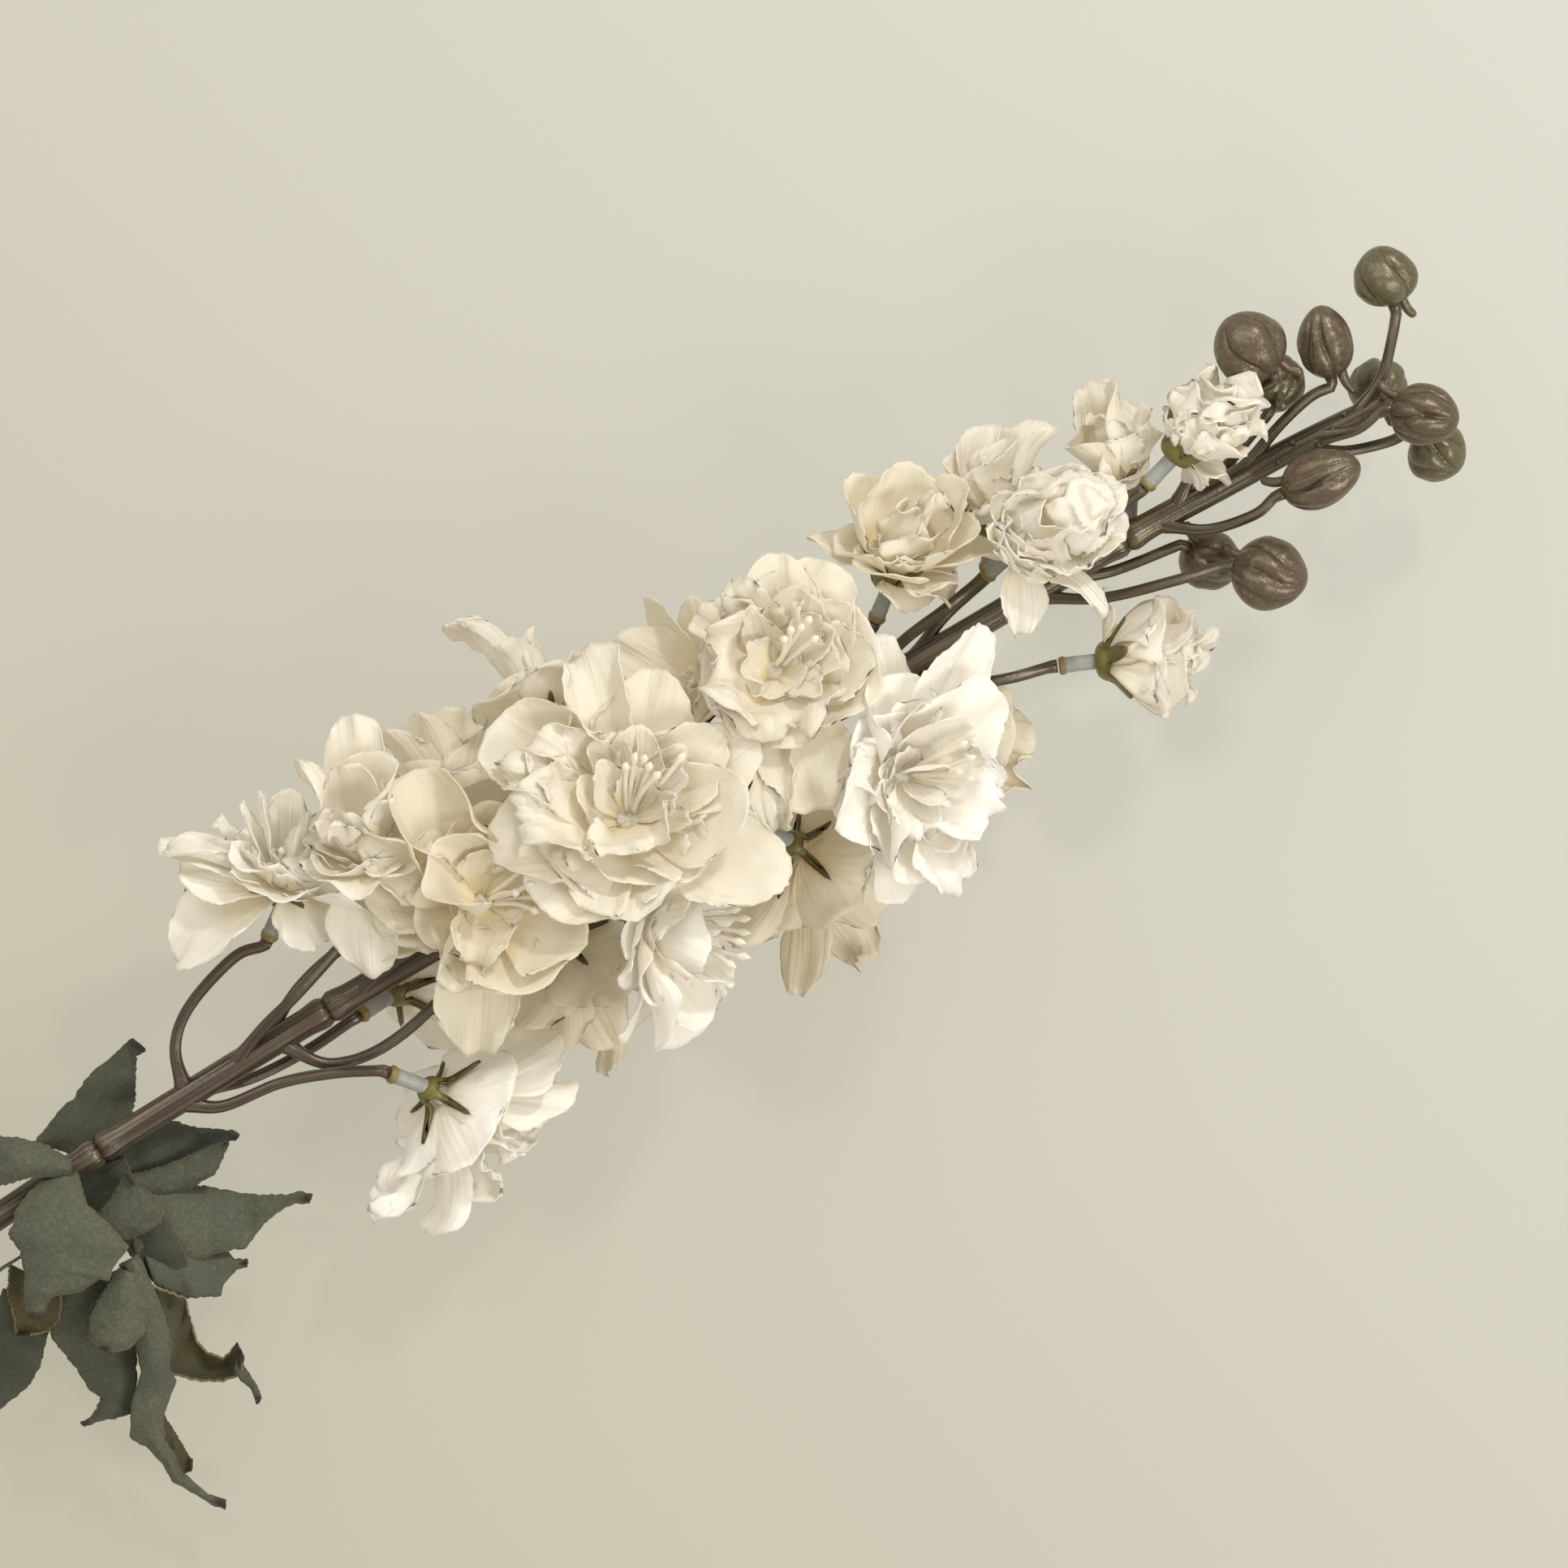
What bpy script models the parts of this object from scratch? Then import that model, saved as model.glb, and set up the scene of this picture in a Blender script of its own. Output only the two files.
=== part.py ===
"""Artificial larkspur spray, lying on its blooms on a flat surface.

The stem runs along +X, its cut end at the low end, and +Z is up. Lengths in the tables are
millimetres in the stem's own frame, whose height zero is the stem's axis where the blooms
are. build() moves everything so that the origin is the bottom centre of the whole spray.
"""
import math

import bmesh
import bpy
from mathutils import Matrix, Vector
from mathutils.bvhtree import BVHTree

MM = 0.001
GAP = 0.3                # clearance between pieces that touch
ROOM = 1.5 * GAP         # what a bloom or leaf leaves free round a stalk or calyx
STEM_HEIGHT = 32.0       # stem axis above the surface, where the blooms are
FLOOR = -STEM_HEIGHT

# The moulded stem: points on its axis, and its radius there.
STEM_AXIS = [(0, 2, -9), (40, 0.5, -5), (80, 0, -2), (124, 2, 0), (180, 3, 0), (240, 3, 0),
             (300, 3.2, 0), (369, 3.2, 0), (392, 2.4, 0.5), (414, 1.4, 1), (430, 0.2, 1.5)]
STEM_RADII = [(0, 2.7), (120, 2.7), (180, 2.9), (260, 2.8), (369, 2.7), (400, 2.6), (430, 2.2)]
COLLAR_HEIGHT = 0.45     # how far a moulded joint ring stands out
COLLAR_LENGTH = 3.0
SECTION_ENDS = [("lower_stem", 0, 124), ("lower_flower_section", 124, 179),
                ("upper_flower_section", 179, 369), ("bud_section", 369, 430)]
STEM_STEP = 12.0         # spacing of the rings along the stem

WIRE_RADIUS = 0.8
BORE_RADIUS = WIRE_RADIUS + GAP
WIRE_END = 400.0         # where the steel wire stops, inside the bud section

PEDICEL_RADIUS = 1.25
STALK_RADIUS = 1.2
STRAIGHT_END = 1.5       # a stalk's last stretch, in line with what it carries
SLEEVE_RADIUS = 1.75
SLEEVE_LENGTH = 8.0
CALYX_DEPTH = 4.5
CALYX_ARM_REACH = 7.0
CALYX_NOTCH_REACH = 4.2

# Flowers: number, centre of the petals' base, facing, radius, and the pedicel's route from
# the stem: its root along the stem and the points it passes on the way to the sleeve.
FLOWERS = [
    (1, (185, 29, 8), (0.62, 0.66, 0.43), 26, 145, [(148, 12, 1), (155, 18, 2), (168, 22, 3)]),
    (2, (202, 25, 14), (0.26, 0.74, 0.62), 27, 156, [(166, 6.5, 5), (176, 9, 8)]),
    (3, (221, 24, -4), (0.45, 0.87, -0.22), 28, 163, [(176, 10, -3), (192, 13, -4)]),
    (4, (218, 6, 16), (0.20, -0.06, 0.98), 28, 186, [(196, 4.5, 6)]),
    (5, (194, -1, -15), (0.76, 0.01, -0.65), 26, 148, [(157, -1, -5), (170, -2, -8)]),
    (6, (190, -24, 1), (0.38, -0.74, -0.55), 28, 143, [(150, -3, 0), (163, -5, 1), (174, -9, 2)]),
    (7, (252, 5, 23), (0.19, 0.12, 0.97), 34, 221, [(233, 4, 8)]),
    (8, (249, 32, 1), (0.02, 0.93, -0.36), 26, 212, [(224, 13, 1), (238, 17, 1)]),
    (9, (245, -15, 11), (0.55, -0.73, 0.40), 26, 216, [(226, -4, 4)]),
    (10, (227, -10, -10), (0.13, -0.82, -0.56), 27, 167, [(174, -7, -1), (190, -9, -3)]),
    (11, (293, 16, 20), (0.03, 0.16, 0.99), 29, 262, [(273, 8, 6)]),
    (12, (280, 18, 3), (-0.49, 0.82, 0.30), 22, 252, [(264, 7, -3), (277, 8, -5)]),
    (13, (304, -15, 16), (0.40, -0.42, 0.81), 30, 270, [(280, -3, 5), (290, -8, 7)]),
    (14, (279, -18, -6), (0.21, -0.65, -0.73), 27, 246, [(258, -4, -1)]),
    (15, (317, -14, -11.5), (0.50, -0.15, -0.85), 23, 284, [(294, -4, -2)]),
    (16, (325, 22, 8), (0.60, 0.62, 0.50), 20, 290, [(301, 9, 1)]),
    (17, (348, 22, 0), (0.35, 0.86, 0.36), 14, 318, [(328, 8, -1)]),
    (18, (350, 13, 14), (0.66, 0.13, 0.74), 18, 305, [(318, 8, 5), (330, 9.5, 7)]),
    (19, (375, 14, -3), (0.13, 0.94, 0.31), 13, 340, [(352, 7, -3), (364, 7, -5)]),
    (20, (389.3, 13.8, 12), (0.92, 0.30, 0.24), 13, 350, [(364, 8, 5)]),
    (21, (355.5, -17.5, 0), (0.89, -0.44, 0.15), 15, 314, [(322, -4, 1), (333, -9, 1)]),
]
BASE_DEPTH_RATIO = 0.42  # bloom: depth from the base to its widest, over its radius
TOP_DEPTH_RATIO = 0.36   # and from its widest to its top
LOBE_RATIO = 0.07        # how far the five lobes stand out
BLOOM_SIDES = 10
BLOOM_RINGS = 7
SLEEVE_TURN = 0.5        # share of the sleeve's direction that follows the facing
STEM_CLEARANCE = 4.2     # a bloom keeps this far from the stem's axis

# Buds: number, centre, direction from stalk to tip, width, length, root, and the stalk's way.
BUDS = [
    (1, (410, 24, 14), (-0.18, 0.93, 0.32), 14.4, 14.6, 381, [(392, 11, 5), (402, 15, 8)]),
    (2, (412, 15.5, -3), (0.50, 0.59, -0.64), 12.5, 13, 388, [(396, 6, -2)]),
    (3, (424.5, 17, 5), (0.34, 0.91, 0.20), 11.0, 14.8, 396, [(406, 6.5, 2), (416, 9, 3)]),
    (4, (442, 22.5, 4), (0.20, 0.96, 0.21), 12.6, 12.2, 423, [(431, 5, 3), (437, 11, 3.5)]),
    (5, (431, 4.2, -12), (0.43, 0.48, -0.76), 12.2, 11.5, 421, [(425, 1.5, -3)]),
    (6, (434, -6, 10), (0.68, -0.64, 0.35), 12.5, 14, 413, [(421, -1.5, 5)]),
    (7, (434, -14, -7), (0.43, -0.89, 0.11), 12.4, 11.5, 409, [(417, -4, -2), (426, -7, -5)]),
    (8, (409, -6.5, 11), (0.94, -0.15, 0.30), 11.4, 16.8, 376, [(384, -3.5, 3), (394, -6, 7)]),
    (9, (390.5, -18, 6), (0.70, -0.65, 0.31), 14.6, 15.4, 346, [(358, -4.5, 2), (372, -9, 4)]),
    (10, (382.5, -9.5, -8), (0.47, -0.72, -0.51), 12.4, 13, 354, [(363, -1, -3)]),
]
SPUR_RADIUS = 0.9
SPUR_LENGTH = 6.5

# Leaves: each is a few pointed lobes, given by its middle line and its half width.
LEAF_THICKNESS = 1.0
LEAVES = {
    "leaf_behind": [
        ([(122, 3, -2), (123, 9, -8), (130, 14, -10), (142, 18.5, -8)], 9),
        ([(122, 2, -3), (128, -1, -11), (139, -6, -15), (151, -8.5, -15)], 8),
    ],
    "leaf_side": [
        ([(122, -1, -0.5), (132, -14, -3), (142, -21, -7), (156, -27.5, -8)], 9),
        ([(121.5, -1, -1), (125, -18, -6), (129, -28, -12), (136, -37, -15)], 7),
        ([(121, -1, -1.5), (114, -28, -10), (116, -46, -19), (127, -58, -22)], 4.5),
    ],
    "leaf_front": [
        ([(122, 1, 3), (114, -4, 9), (104, -16, 8), (94, -27, 2)], 9),
        ([(121.5, 0.5, 3.2), (113, -22, 9), (104, -45, -6), (109, -72, -25)], 8),
        ([(121, 1, 3.4), (101, -16, 3), (92, -27, -6), (80, -37, -14)], 6),
        ([(121.5, 2, 3), (113, 5, 8), (104, 11, 3), (93, 15, -6)], 6),
    ],
}
LEAF_ROWS = 7
LEAF_COLUMNS = 4

COLOURS = {
    "wire": ((0.42, 0.42, 0.41), 0.35, 1.0),
    "stem": ((0.115, 0.080, 0.070), 0.50, 0.0),
    "bud": ((0.110, 0.095, 0.075), 0.40, 0.0),
    "calyx": ((0.110, 0.105, 0.030), 0.60, 0.0),
    "petal": ((0.860, 0.800, 0.690), 0.55, 0.0),
    "leaf": ((0.105, 0.120, 0.090), 0.75, 0.0),
}


def place(point):
    """A point of the stem's frame, in metres above the surface."""
    x, y, z = point
    return Vector((x, y, z + STEM_HEIGHT)) * MM


def blend(stations, at):
    """Value at a place, from a list of (place, value) with straight stretches between."""
    for (a, low), (b, high) in zip(stations, stations[1:]):
        if at <= b:
            return low + (high - low) * (at - a) / (b - a)
    return stations[-1][1]


def smooth_route(points, per_span):
    """Points on the smooth curve that passes through the given ones."""
    knots = [Vector(p) for p in points]
    knots = [2 * knots[0] - knots[1]] + knots + [2 * knots[-1] - knots[-2]]
    route = []
    for a, b, c, d in zip(knots, knots[1:], knots[2:], knots[3:]):
        for step in range(per_span):
            t = step / per_span
            route.append(0.5 * (2 * b + (c - a) * t + (2 * a - 5 * b + 4 * c - d) * t * t
                                + (3 * b - a - 3 * c + d) * t ** 3))
    return route + [knots[-2]]


STEM_ROUTE = smooth_route(STEM_AXIS, 24)


def on_stem(x):
    """The point of the stem's axis at a distance x along the spray."""
    for a, b in zip(STEM_ROUTE, STEM_ROUTE[1:]):
        if x <= b.x:
            return a.lerp(b, (x - a.x) / (b.x - a.x))
    return STEM_ROUTE[-1].copy()


def material(name):
    """The Principled material of one of the spray's stuffs."""
    found = bpy.data.materials.get(name)
    if found:
        return found
    colour, roughness, metallic = COLOURS[name]
    made = bpy.data.materials.new(name)
    made.use_nodes = True
    shader = made.node_tree.nodes["Principled BSDF"]
    shader.inputs["Base Color"].default_value = (*colour, 1.0)
    shader.inputs["Roughness"].default_value = roughness
    shader.inputs["Metallic"].default_value = metallic
    return made


def add_object(name, mesh):
    """A new object that shows a mesh, in the spray's collection."""
    made = bpy.data.objects.new(name, mesh)
    bpy.data.collections["larkspur_spray"].objects.link(made)
    return made


def evaluated_mesh(source):
    """A plain mesh of an object as its modifiers leave it, its doubles merged."""
    graph = bpy.context.evaluated_depsgraph_get()
    mesh = bpy.data.meshes.new_from_object(source.evaluated_get(graph))
    shape = bmesh.new()
    shape.from_mesh(mesh)
    bmesh.ops.remove_doubles(shape, verts=shape.verts, dist=0.00001)
    bmesh.ops.triangulate(shape, faces=shape.faces)
    shape.to_mesh(mesh)
    shape.free()
    return mesh


def discard(source):
    """Remove an object that has served its turn."""
    bpy.data.objects.remove(source, do_unlink=True)


def tube(name, route, radii, resolution=2):
    """A round rod along a route in the stem's frame, as a closed mesh object."""
    curve = bpy.data.curves.new(name, "CURVE")
    curve.dimensions = "3D"
    curve.bevel_depth = MM
    curve.bevel_resolution = resolution
    curve.use_fill_caps = True
    spline = curve.splines.new("POLY")
    spline.points.add(len(route) - 1)
    for point, spot, radius in zip(spline.points, route, radii):
        point.co = (*place(spot), 1.0)
        point.radius = radius
    drawn = add_object(name + "_line", curve)
    made = add_object(name, evaluated_mesh(drawn))
    discard(drawn)
    return made


def boolean(target, tool, operation):
    """Join a mesh object with another, or cut it, and keep the result as plain mesh."""
    modifier = target.modifiers.new(operation.lower(), "BOOLEAN")
    modifier.operation = operation
    modifier.object = tool
    mesh = evaluated_mesh(target)
    target.modifiers.clear()
    target.data = mesh


def join(target, tool):
    """Join a mesh object with another one, which is used up."""
    boolean(target, tool, "UNION")
    discard(tool)


def finish(target, stuff):
    """Give a finished piece its material and smooth shading."""
    target.data.materials.clear()
    target.data.materials.append(material(stuff))
    target.data.shade_smooth()
    target.data.set_sharp_from_angle(angle=math.radians(35))
    return target


def tree_of(target):
    """Search tree of a mesh object's faces."""
    return BVHTree.FromPolygons([v.co for v in target.data.vertices],
                                [tuple(p.vertices) for p in target.data.polygons])


def keep_largest_part(target):
    """Drop the small offcuts that a cut has left beside a piece."""
    shape = bmesh.new()
    shape.from_mesh(target.data)
    waiting = set(shape.verts)
    parts = []
    while waiting:
        front = [waiting.pop()]
        part = set(front)
        while front:
            near = {e.other_vert(v) for v in front for e in v.link_edges} - part
            part |= near
            front = list(near)
        waiting -= part
        parts.append(part)
    parts.sort(key=len)
    small = [v for part in parts[:-1] for v in part]
    bmesh.ops.delete(shape, geom=small, context="VERTS")
    shape.to_mesh(target.data)
    shape.free()


# ---------------------------------------------------------------- stem and wire

def collar_swell(x, start, end):
    """How far the stem stands out at x, where a section's ends carry a moulded ring."""
    near = min(x - start, end - x)
    return COLLAR_HEIGHT if near < COLLAR_LENGTH else 0.0


def section_tube(name, start, end):
    """The stem's own rod for one moulded section, with a ring at each end."""
    first, last = start + GAP / 2, end - GAP / 2
    steps = max(2, round((last - first) / STEM_STEP))
    stations = [first + (last - first) * i / steps for i in range(steps + 1)]
    stations += [first + COLLAR_LENGTH, first + COLLAR_LENGTH + 0.6]
    stations += [last - COLLAR_LENGTH, last - COLLAR_LENGTH - 0.6]
    stations.sort()
    radii = [blend(STEM_RADII, x) + collar_swell(x, first, last) for x in stations]
    return tube(name, [on_stem(x) for x in stations], radii, 3)


def route_from_stem(root, way, end_point):
    """A stalk's smooth route from the stem's axis through its way points to its end."""
    return smooth_route([on_stem(root), *way, end_point], 2)


def taper(route, radius):
    """A stalk's radii: thicker where it leaves the stem."""
    return [radius * (1.35 if i < 2 else 1.0) for i in range(len(route))]


def flower_layout(flower):
    """Where a flower's sleeve starts and which way it points, and its pedicel's route."""
    _, base, facing, _, root, way = flower
    base = Vector(base)
    facing = Vector(facing).normalized()
    along = (base - Vector(way[-1])).normalized()
    sleeve_way = facing.lerp(along, 1 - SLEEVE_TURN).normalized()
    calyx_foot = base - facing * CALYX_DEPTH
    sleeve_foot = calyx_foot - sleeve_way * SLEEVE_LENGTH
    route = route_from_stem(root, way, sleeve_foot - sleeve_way * (GAP + STRAIGHT_END))
    route.append(sleeve_foot - sleeve_way * GAP)
    return base, facing, calyx_foot, sleeve_foot, route


def bud_layout(bud):
    """A bud's direction and its stalk's route."""
    _, centre, facing, _, length, root, way = bud
    facing = Vector(facing).normalized()
    foot = Vector(centre) - facing * (length / 2 + GAP)
    route = route_from_stem(root, way, foot - facing * STRAIGHT_END)
    return facing, route + [foot]


def wire_route(end):
    """Points along the stem's axis from the cut end to a place inside it."""
    steps = round(end / (2 * STEM_STEP))
    return [on_stem(end * i / steps) for i in range(steps + 1)]


def make_sections():
    """The moulded sections, each with the pedicels and stalks that grow from it."""
    bore_route = [on_stem(0) - Vector((2, 0, 0))] + wire_route(WIRE_END + 1)
    sections = []
    for name, start, end in SECTION_ENDS:
        section = section_tube(name, start, end)
        stalks = [(flower_layout(f)[4], PEDICEL_RADIUS) for f in FLOWERS if start <= f[4] < end]
        stalks += [(bud_layout(b)[1], STALK_RADIUS) for b in BUDS if start <= b[5] < end]
        for route, radius in stalks:
            join(section, tube("stalk", route, taper(route, radius)))
        bore = tube("bore", bore_route, [BORE_RADIUS] * len(bore_route))
        boolean(section, bore, "DIFFERENCE")
        discard(bore)
        sections.append(finish(section, "stem"))
    return sections


def make_core_wire():
    """The steel wire that runs inside the stem from the cut end into the bud section."""
    route = wire_route(WIRE_END)
    return finish(tube("core_wire", route, [WIRE_RADIUS] * len(route)), "wire")


# ---------------------------------------------------------------- flowers

def facing_frame(origin, facing):
    """Matrix that stands a piece made along +Z at a point of the stem's frame."""
    turn = Vector(facing).to_track_quat("Z", "Y").to_matrix().to_4x4()
    return Matrix.Translation(place(origin)) @ turn


def cone_mesh(shape, low_radius, high_radius, depth, sides):
    """Add a capped cone from height 0 to depth, in millimetres, to a bmesh."""
    return bmesh.ops.create_cone(
        shape, cap_ends=True, segments=sides, radius1=low_radius * MM,
        radius2=high_radius * MM, depth=depth * MM,
        matrix=Matrix.Translation((0, 0, depth * MM / 2)))["verts"]


def mesh_object(name, shape, matrix):
    """Turn a bmesh into an object whose mesh lies where the matrix puts it."""
    bmesh.ops.triangulate(shape, faces=shape.faces)
    shape.transform(matrix)
    mesh = bpy.data.meshes.new(name)
    shape.to_mesh(mesh)
    shape.free()
    return add_object(name, mesh)


def make_calyx(flower, swell=0.0):
    """A flower's sleeve and the five-armed calyx that holds its petals."""
    base, facing, foot, sleeve_foot, _ = flower_layout(flower)
    scale = min(1.0, 0.55 + 0.45 * flower[3] / 24)
    shape = bmesh.new()
    verts = cone_mesh(shape, SLEEVE_RADIUS + 0.4 + swell, 1.0, CALYX_DEPTH + swell, 10)
    rim = [v for v in verts if v.co.z > CALYX_DEPTH * MM * 0.5]
    for vert in rim:
        angle = math.atan2(vert.co.y, vert.co.x)
        reach = CALYX_ARM_REACH if math.cos(5 * angle) > 0 else CALYX_NOTCH_REACH
        vert.co.xy = Vector((math.cos(angle), math.sin(angle))) * (reach * scale + swell) * MM
    calyx = mesh_object(f"flower_{flower[0]:02d}_calyx", shape, facing_frame(foot, facing))
    route = [sleeve_foot, foot + (foot - sleeve_foot).normalized() * 1.0]
    join(calyx, tube("sleeve", route, [SLEEVE_RADIUS + swell] * 2))
    return calyx


def bloom_cell(flower, centre):
    """Half spaces, as (direction, limit), that a bloom shares out with its neighbours."""
    walls = [(Vector((0, 0, -1)), -FLOOR)]
    for other in FLOWERS:
        if other[0] == flower[0]:
            continue
        there = bloom_centre(other)
        away = there - centre
        share = flower[3] / (flower[3] + other[3])
        limit = away.length * share - GAP
        walls.append((away.normalized(), away.normalized().dot(centre) + limit))
    for bud in BUDS:
        away = Vector(bud[1]) - centre
        limit = away.length - bud[4] / 2 - 2 * GAP
        walls.append((away.normalized(), away.normalized().dot(centre) + limit))
    axis_point = on_stem(centre.x)
    out = (centre - axis_point)
    out.x = 0
    out.normalize()
    walls.append((-out, -(out.dot(axis_point) + STEM_CLEARANCE)))
    return walls


def bloom_centre(flower):
    """The middle of a bloom at its widest."""
    facing = Vector(flower[2]).normalized()
    return Vector(flower[1]) + facing * flower[3] * BASE_DEPTH_RATIO


def make_petals(flower, obstacles):
    """A bloom's plain soft solid, trimmed to its own room between its neighbours."""
    base, facing, _, _, _ = flower_layout(flower)
    radius = flower[3]
    centre = bloom_centre(flower)
    walls = bloom_cell(flower, centre)
    walls.append((-facing, -facing.dot(base) - GAP))
    shape = bmesh.new()
    bmesh.ops.create_uvsphere(shape, u_segments=BLOOM_SIDES, v_segments=BLOOM_RINGS, radius=1)
    turn = facing.to_track_quat("Z", "Y").to_matrix()
    for vert in shape.verts:
        angle = math.atan2(vert.co.y, vert.co.x)
        lobe = 1 + LOBE_RATIO * math.cos(5 * angle)
        depth = BASE_DEPTH_RATIO if vert.co.z < 0 else TOP_DEPTH_RATIO
        local = Vector((vert.co.x * lobe, vert.co.y * lobe, vert.co.z * depth)) * radius
        reach = turn @ local
        fit = 1.0
        for direction, limit in walls:
            outward = direction.dot(reach)
            if outward > 0:
                fit = min(fit, (limit - direction.dot(centre)) / outward)
        if fit <= 0:
            raise ValueError(f"flower {flower[0]} has its centre outside its own room")
        vert.co = place(centre + reach * fit)
    petals = mesh_object(f"flower_{flower[0]:02d}_petals", shape, Matrix.Identity(4))
    for number, obstacle in obstacles:
        if number != flower[0] and tree_of(petals).overlap(tree_of(obstacle)):
            boolean(petals, obstacle, "DIFFERENCE")
    keep_largest_part(petals)
    return finish(petals, "petal")


def make_obstacles():
    """Swollen copies of what blooms have to leave room for, with the flower they belong to."""
    obstacles = []
    for flower in FLOWERS:
        route = flower_layout(flower)[4]
        stalk = tube("guide", route, [r + ROOM for r in taper(route, PEDICEL_RADIUS)])
        obstacles.append((0, stalk))
        obstacles.append((flower[0], make_calyx(flower, ROOM)))
    for bud in BUDS:
        route = bud_layout(bud)[1]
        stalk = tube("guide", route, [r + ROOM for r in taper(route, STALK_RADIUS)])
        obstacles.append((0, stalk))
    for name, start, end in SECTION_ENDS:
        stations = [start + (end - start) * i / 12 for i in range(13)]
        radii = [blend(STEM_RADII, x) + COLLAR_HEIGHT + ROOM for x in stations]
        obstacles.append((0, tube("guide", [on_stem(x) for x in stations], radii)))
    guides = bpy.data.collections["guides"]
    for _, guide in obstacles:
        bpy.data.collections["larkspur_spray"].objects.unlink(guide)
        guides.objects.link(guide)
        guide.name = "guide"
        guide.hide_render = True
        guide.display_type = "WIRE"
    return obstacles


# ---------------------------------------------------------------- buds

def make_bud(bud):
    """A moulded bud, egg-shaped, with the short spur that lies beside its stalk."""
    number, centre, _, width, length, _, _ = bud
    facing, route = bud_layout(bud)
    shape = bmesh.new()
    bmesh.ops.create_uvsphere(shape, u_segments=10, v_segments=7, radius=1)
    for vert in shape.verts:
        waist = 1 - 0.10 * vert.co.z
        vert.co = Vector((vert.co.x * waist * width, vert.co.y * waist * width,
                          vert.co.z * length)) * MM / 2
    made = mesh_object(f"bud_{number:02d}", shape, facing_frame(centre, facing))
    bend = route[-1] - route[-4]
    side = (bend - facing * bend.dot(facing)).normalized()
    foot = Vector(centre) - facing * (length * 0.28) + side * width * 0.20
    middle = foot - facing * SPUR_LENGTH * 0.6 + side * 0.9
    tip = foot - facing * SPUR_LENGTH + side * 2.2
    join(made, tube("spur", [foot, middle, tip], [SPUR_RADIUS, SPUR_RADIUS, SPUR_RADIUS * 0.7]))
    return finish(made, "bud")


# ---------------------------------------------------------------- leaves

def lobe_width(t, half_width):
    """Half width of a leaf's lobe along its middle line: broad, then pointed."""
    belly = math.sin(math.pi * min(1.0, t * 1.08)) ** 0.8
    return half_width * (0.25 + 0.92 * belly) * (1 - t ** 3)


def make_lobe(name, middle_line, half_width):
    """One lobe of a leaf as a thin closed blade along its middle line."""
    route = smooth_route(middle_line, 4)
    shape = bmesh.new()
    bmesh.ops.create_grid(shape, x_segments=LEAF_ROWS - 1, y_segments=LEAF_COLUMNS - 2, size=0.5)
    last = len(route) - 1
    for vert in shape.verts:
        t = vert.co.x + 0.5
        at = min(last - 1, int(t * last))
        spot = route[at].lerp(route[at + 1], t * last - at)
        along = (route[at + 1] - route[at]).normalized()
        side = along.cross(Vector((0, 0, 1))).normalized()
        offset = 2 * vert.co.y * max(0.8, lobe_width(t, half_width))
        droop = -abs(vert.co.y) * 2.0
        vert.co = place(spot + side * offset + Vector((0, 0, droop)))
    bmesh.ops.recalc_face_normals(shape, faces=shape.faces)
    made = mesh_object(name, shape, Matrix.Identity(4))
    wall = made.modifiers.new("blade", "SOLIDIFY")
    wall.thickness = LEAF_THICKNESS * MM
    wall.offset = 0.0
    made.data = evaluated_mesh(made)
    made.modifiers.clear()
    return made


def make_leaf(name, lobes, sections):
    """A leaf: its pointed lobes joined at the foot, clear of the stem."""
    leaf = make_lobe(name, *lobes[0])
    for lobe in lobes[1:]:
        join(leaf, make_lobe("lobe", *lobe))
    for number, obstacle in sections:
        if tree_of(leaf).overlap(tree_of(obstacle)):
            boolean(leaf, obstacle, "DIFFERENCE")
    keep_largest_part(leaf)
    return finish(leaf, "leaf")


# ---------------------------------------------------------------- whole spray

def centre_on_origin(pieces):
    """Move every piece so that the origin is the bottom centre of the whole spray."""
    corners = [v.co for piece in pieces for v in piece.data.vertices]
    low = Vector([min(c[i] for c in corners) for i in range(3)])
    high = Vector([max(c[i] for c in corners) for i in range(3)])
    shift = Vector(((low.x + high.x) / 2, (low.y + high.y) / 2, low.z))
    for piece in pieces:
        piece.data.transform(Matrix.Translation(-shift))


def build():
    """Model the whole spray."""
    for old in list(bpy.data.objects):
        bpy.data.objects.remove(old, do_unlink=True)
    for name in ("larkspur_spray", "guides"):
        collection = bpy.data.collections.new(name)
        bpy.context.scene.collection.children.link(collection)
    obstacles = make_obstacles()
    pieces = [make_core_wire()]
    pieces += make_sections()
    pieces += [finish(make_calyx(flower), "calyx") for flower in FLOWERS]
    pieces += [make_petals(flower, obstacles) for flower in FLOWERS]
    pieces += [make_bud(bud) for bud in BUDS]
    pieces += [make_leaf(name, lobes, obstacles) for name, lobes in LEAVES.items()]
    centre_on_origin(pieces)


build()
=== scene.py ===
"""Looks of the artificial larkspur spray: its blooms, calyxes, stem, buds and leaves.

Lengths in the tables are millimetres in the stem's own frame: x runs along the stem from its
cut end, y to one side, z up, and height zero is the stem's axis where the blooms are.
"""
import math
import random
from bisect import bisect_left, bisect_right
from collections import namedtuple

import bmesh
import bpy
from bpy.props import FloatProperty, FloatVectorProperty, PointerProperty
from mathutils import Matrix, Vector, noise


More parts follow.
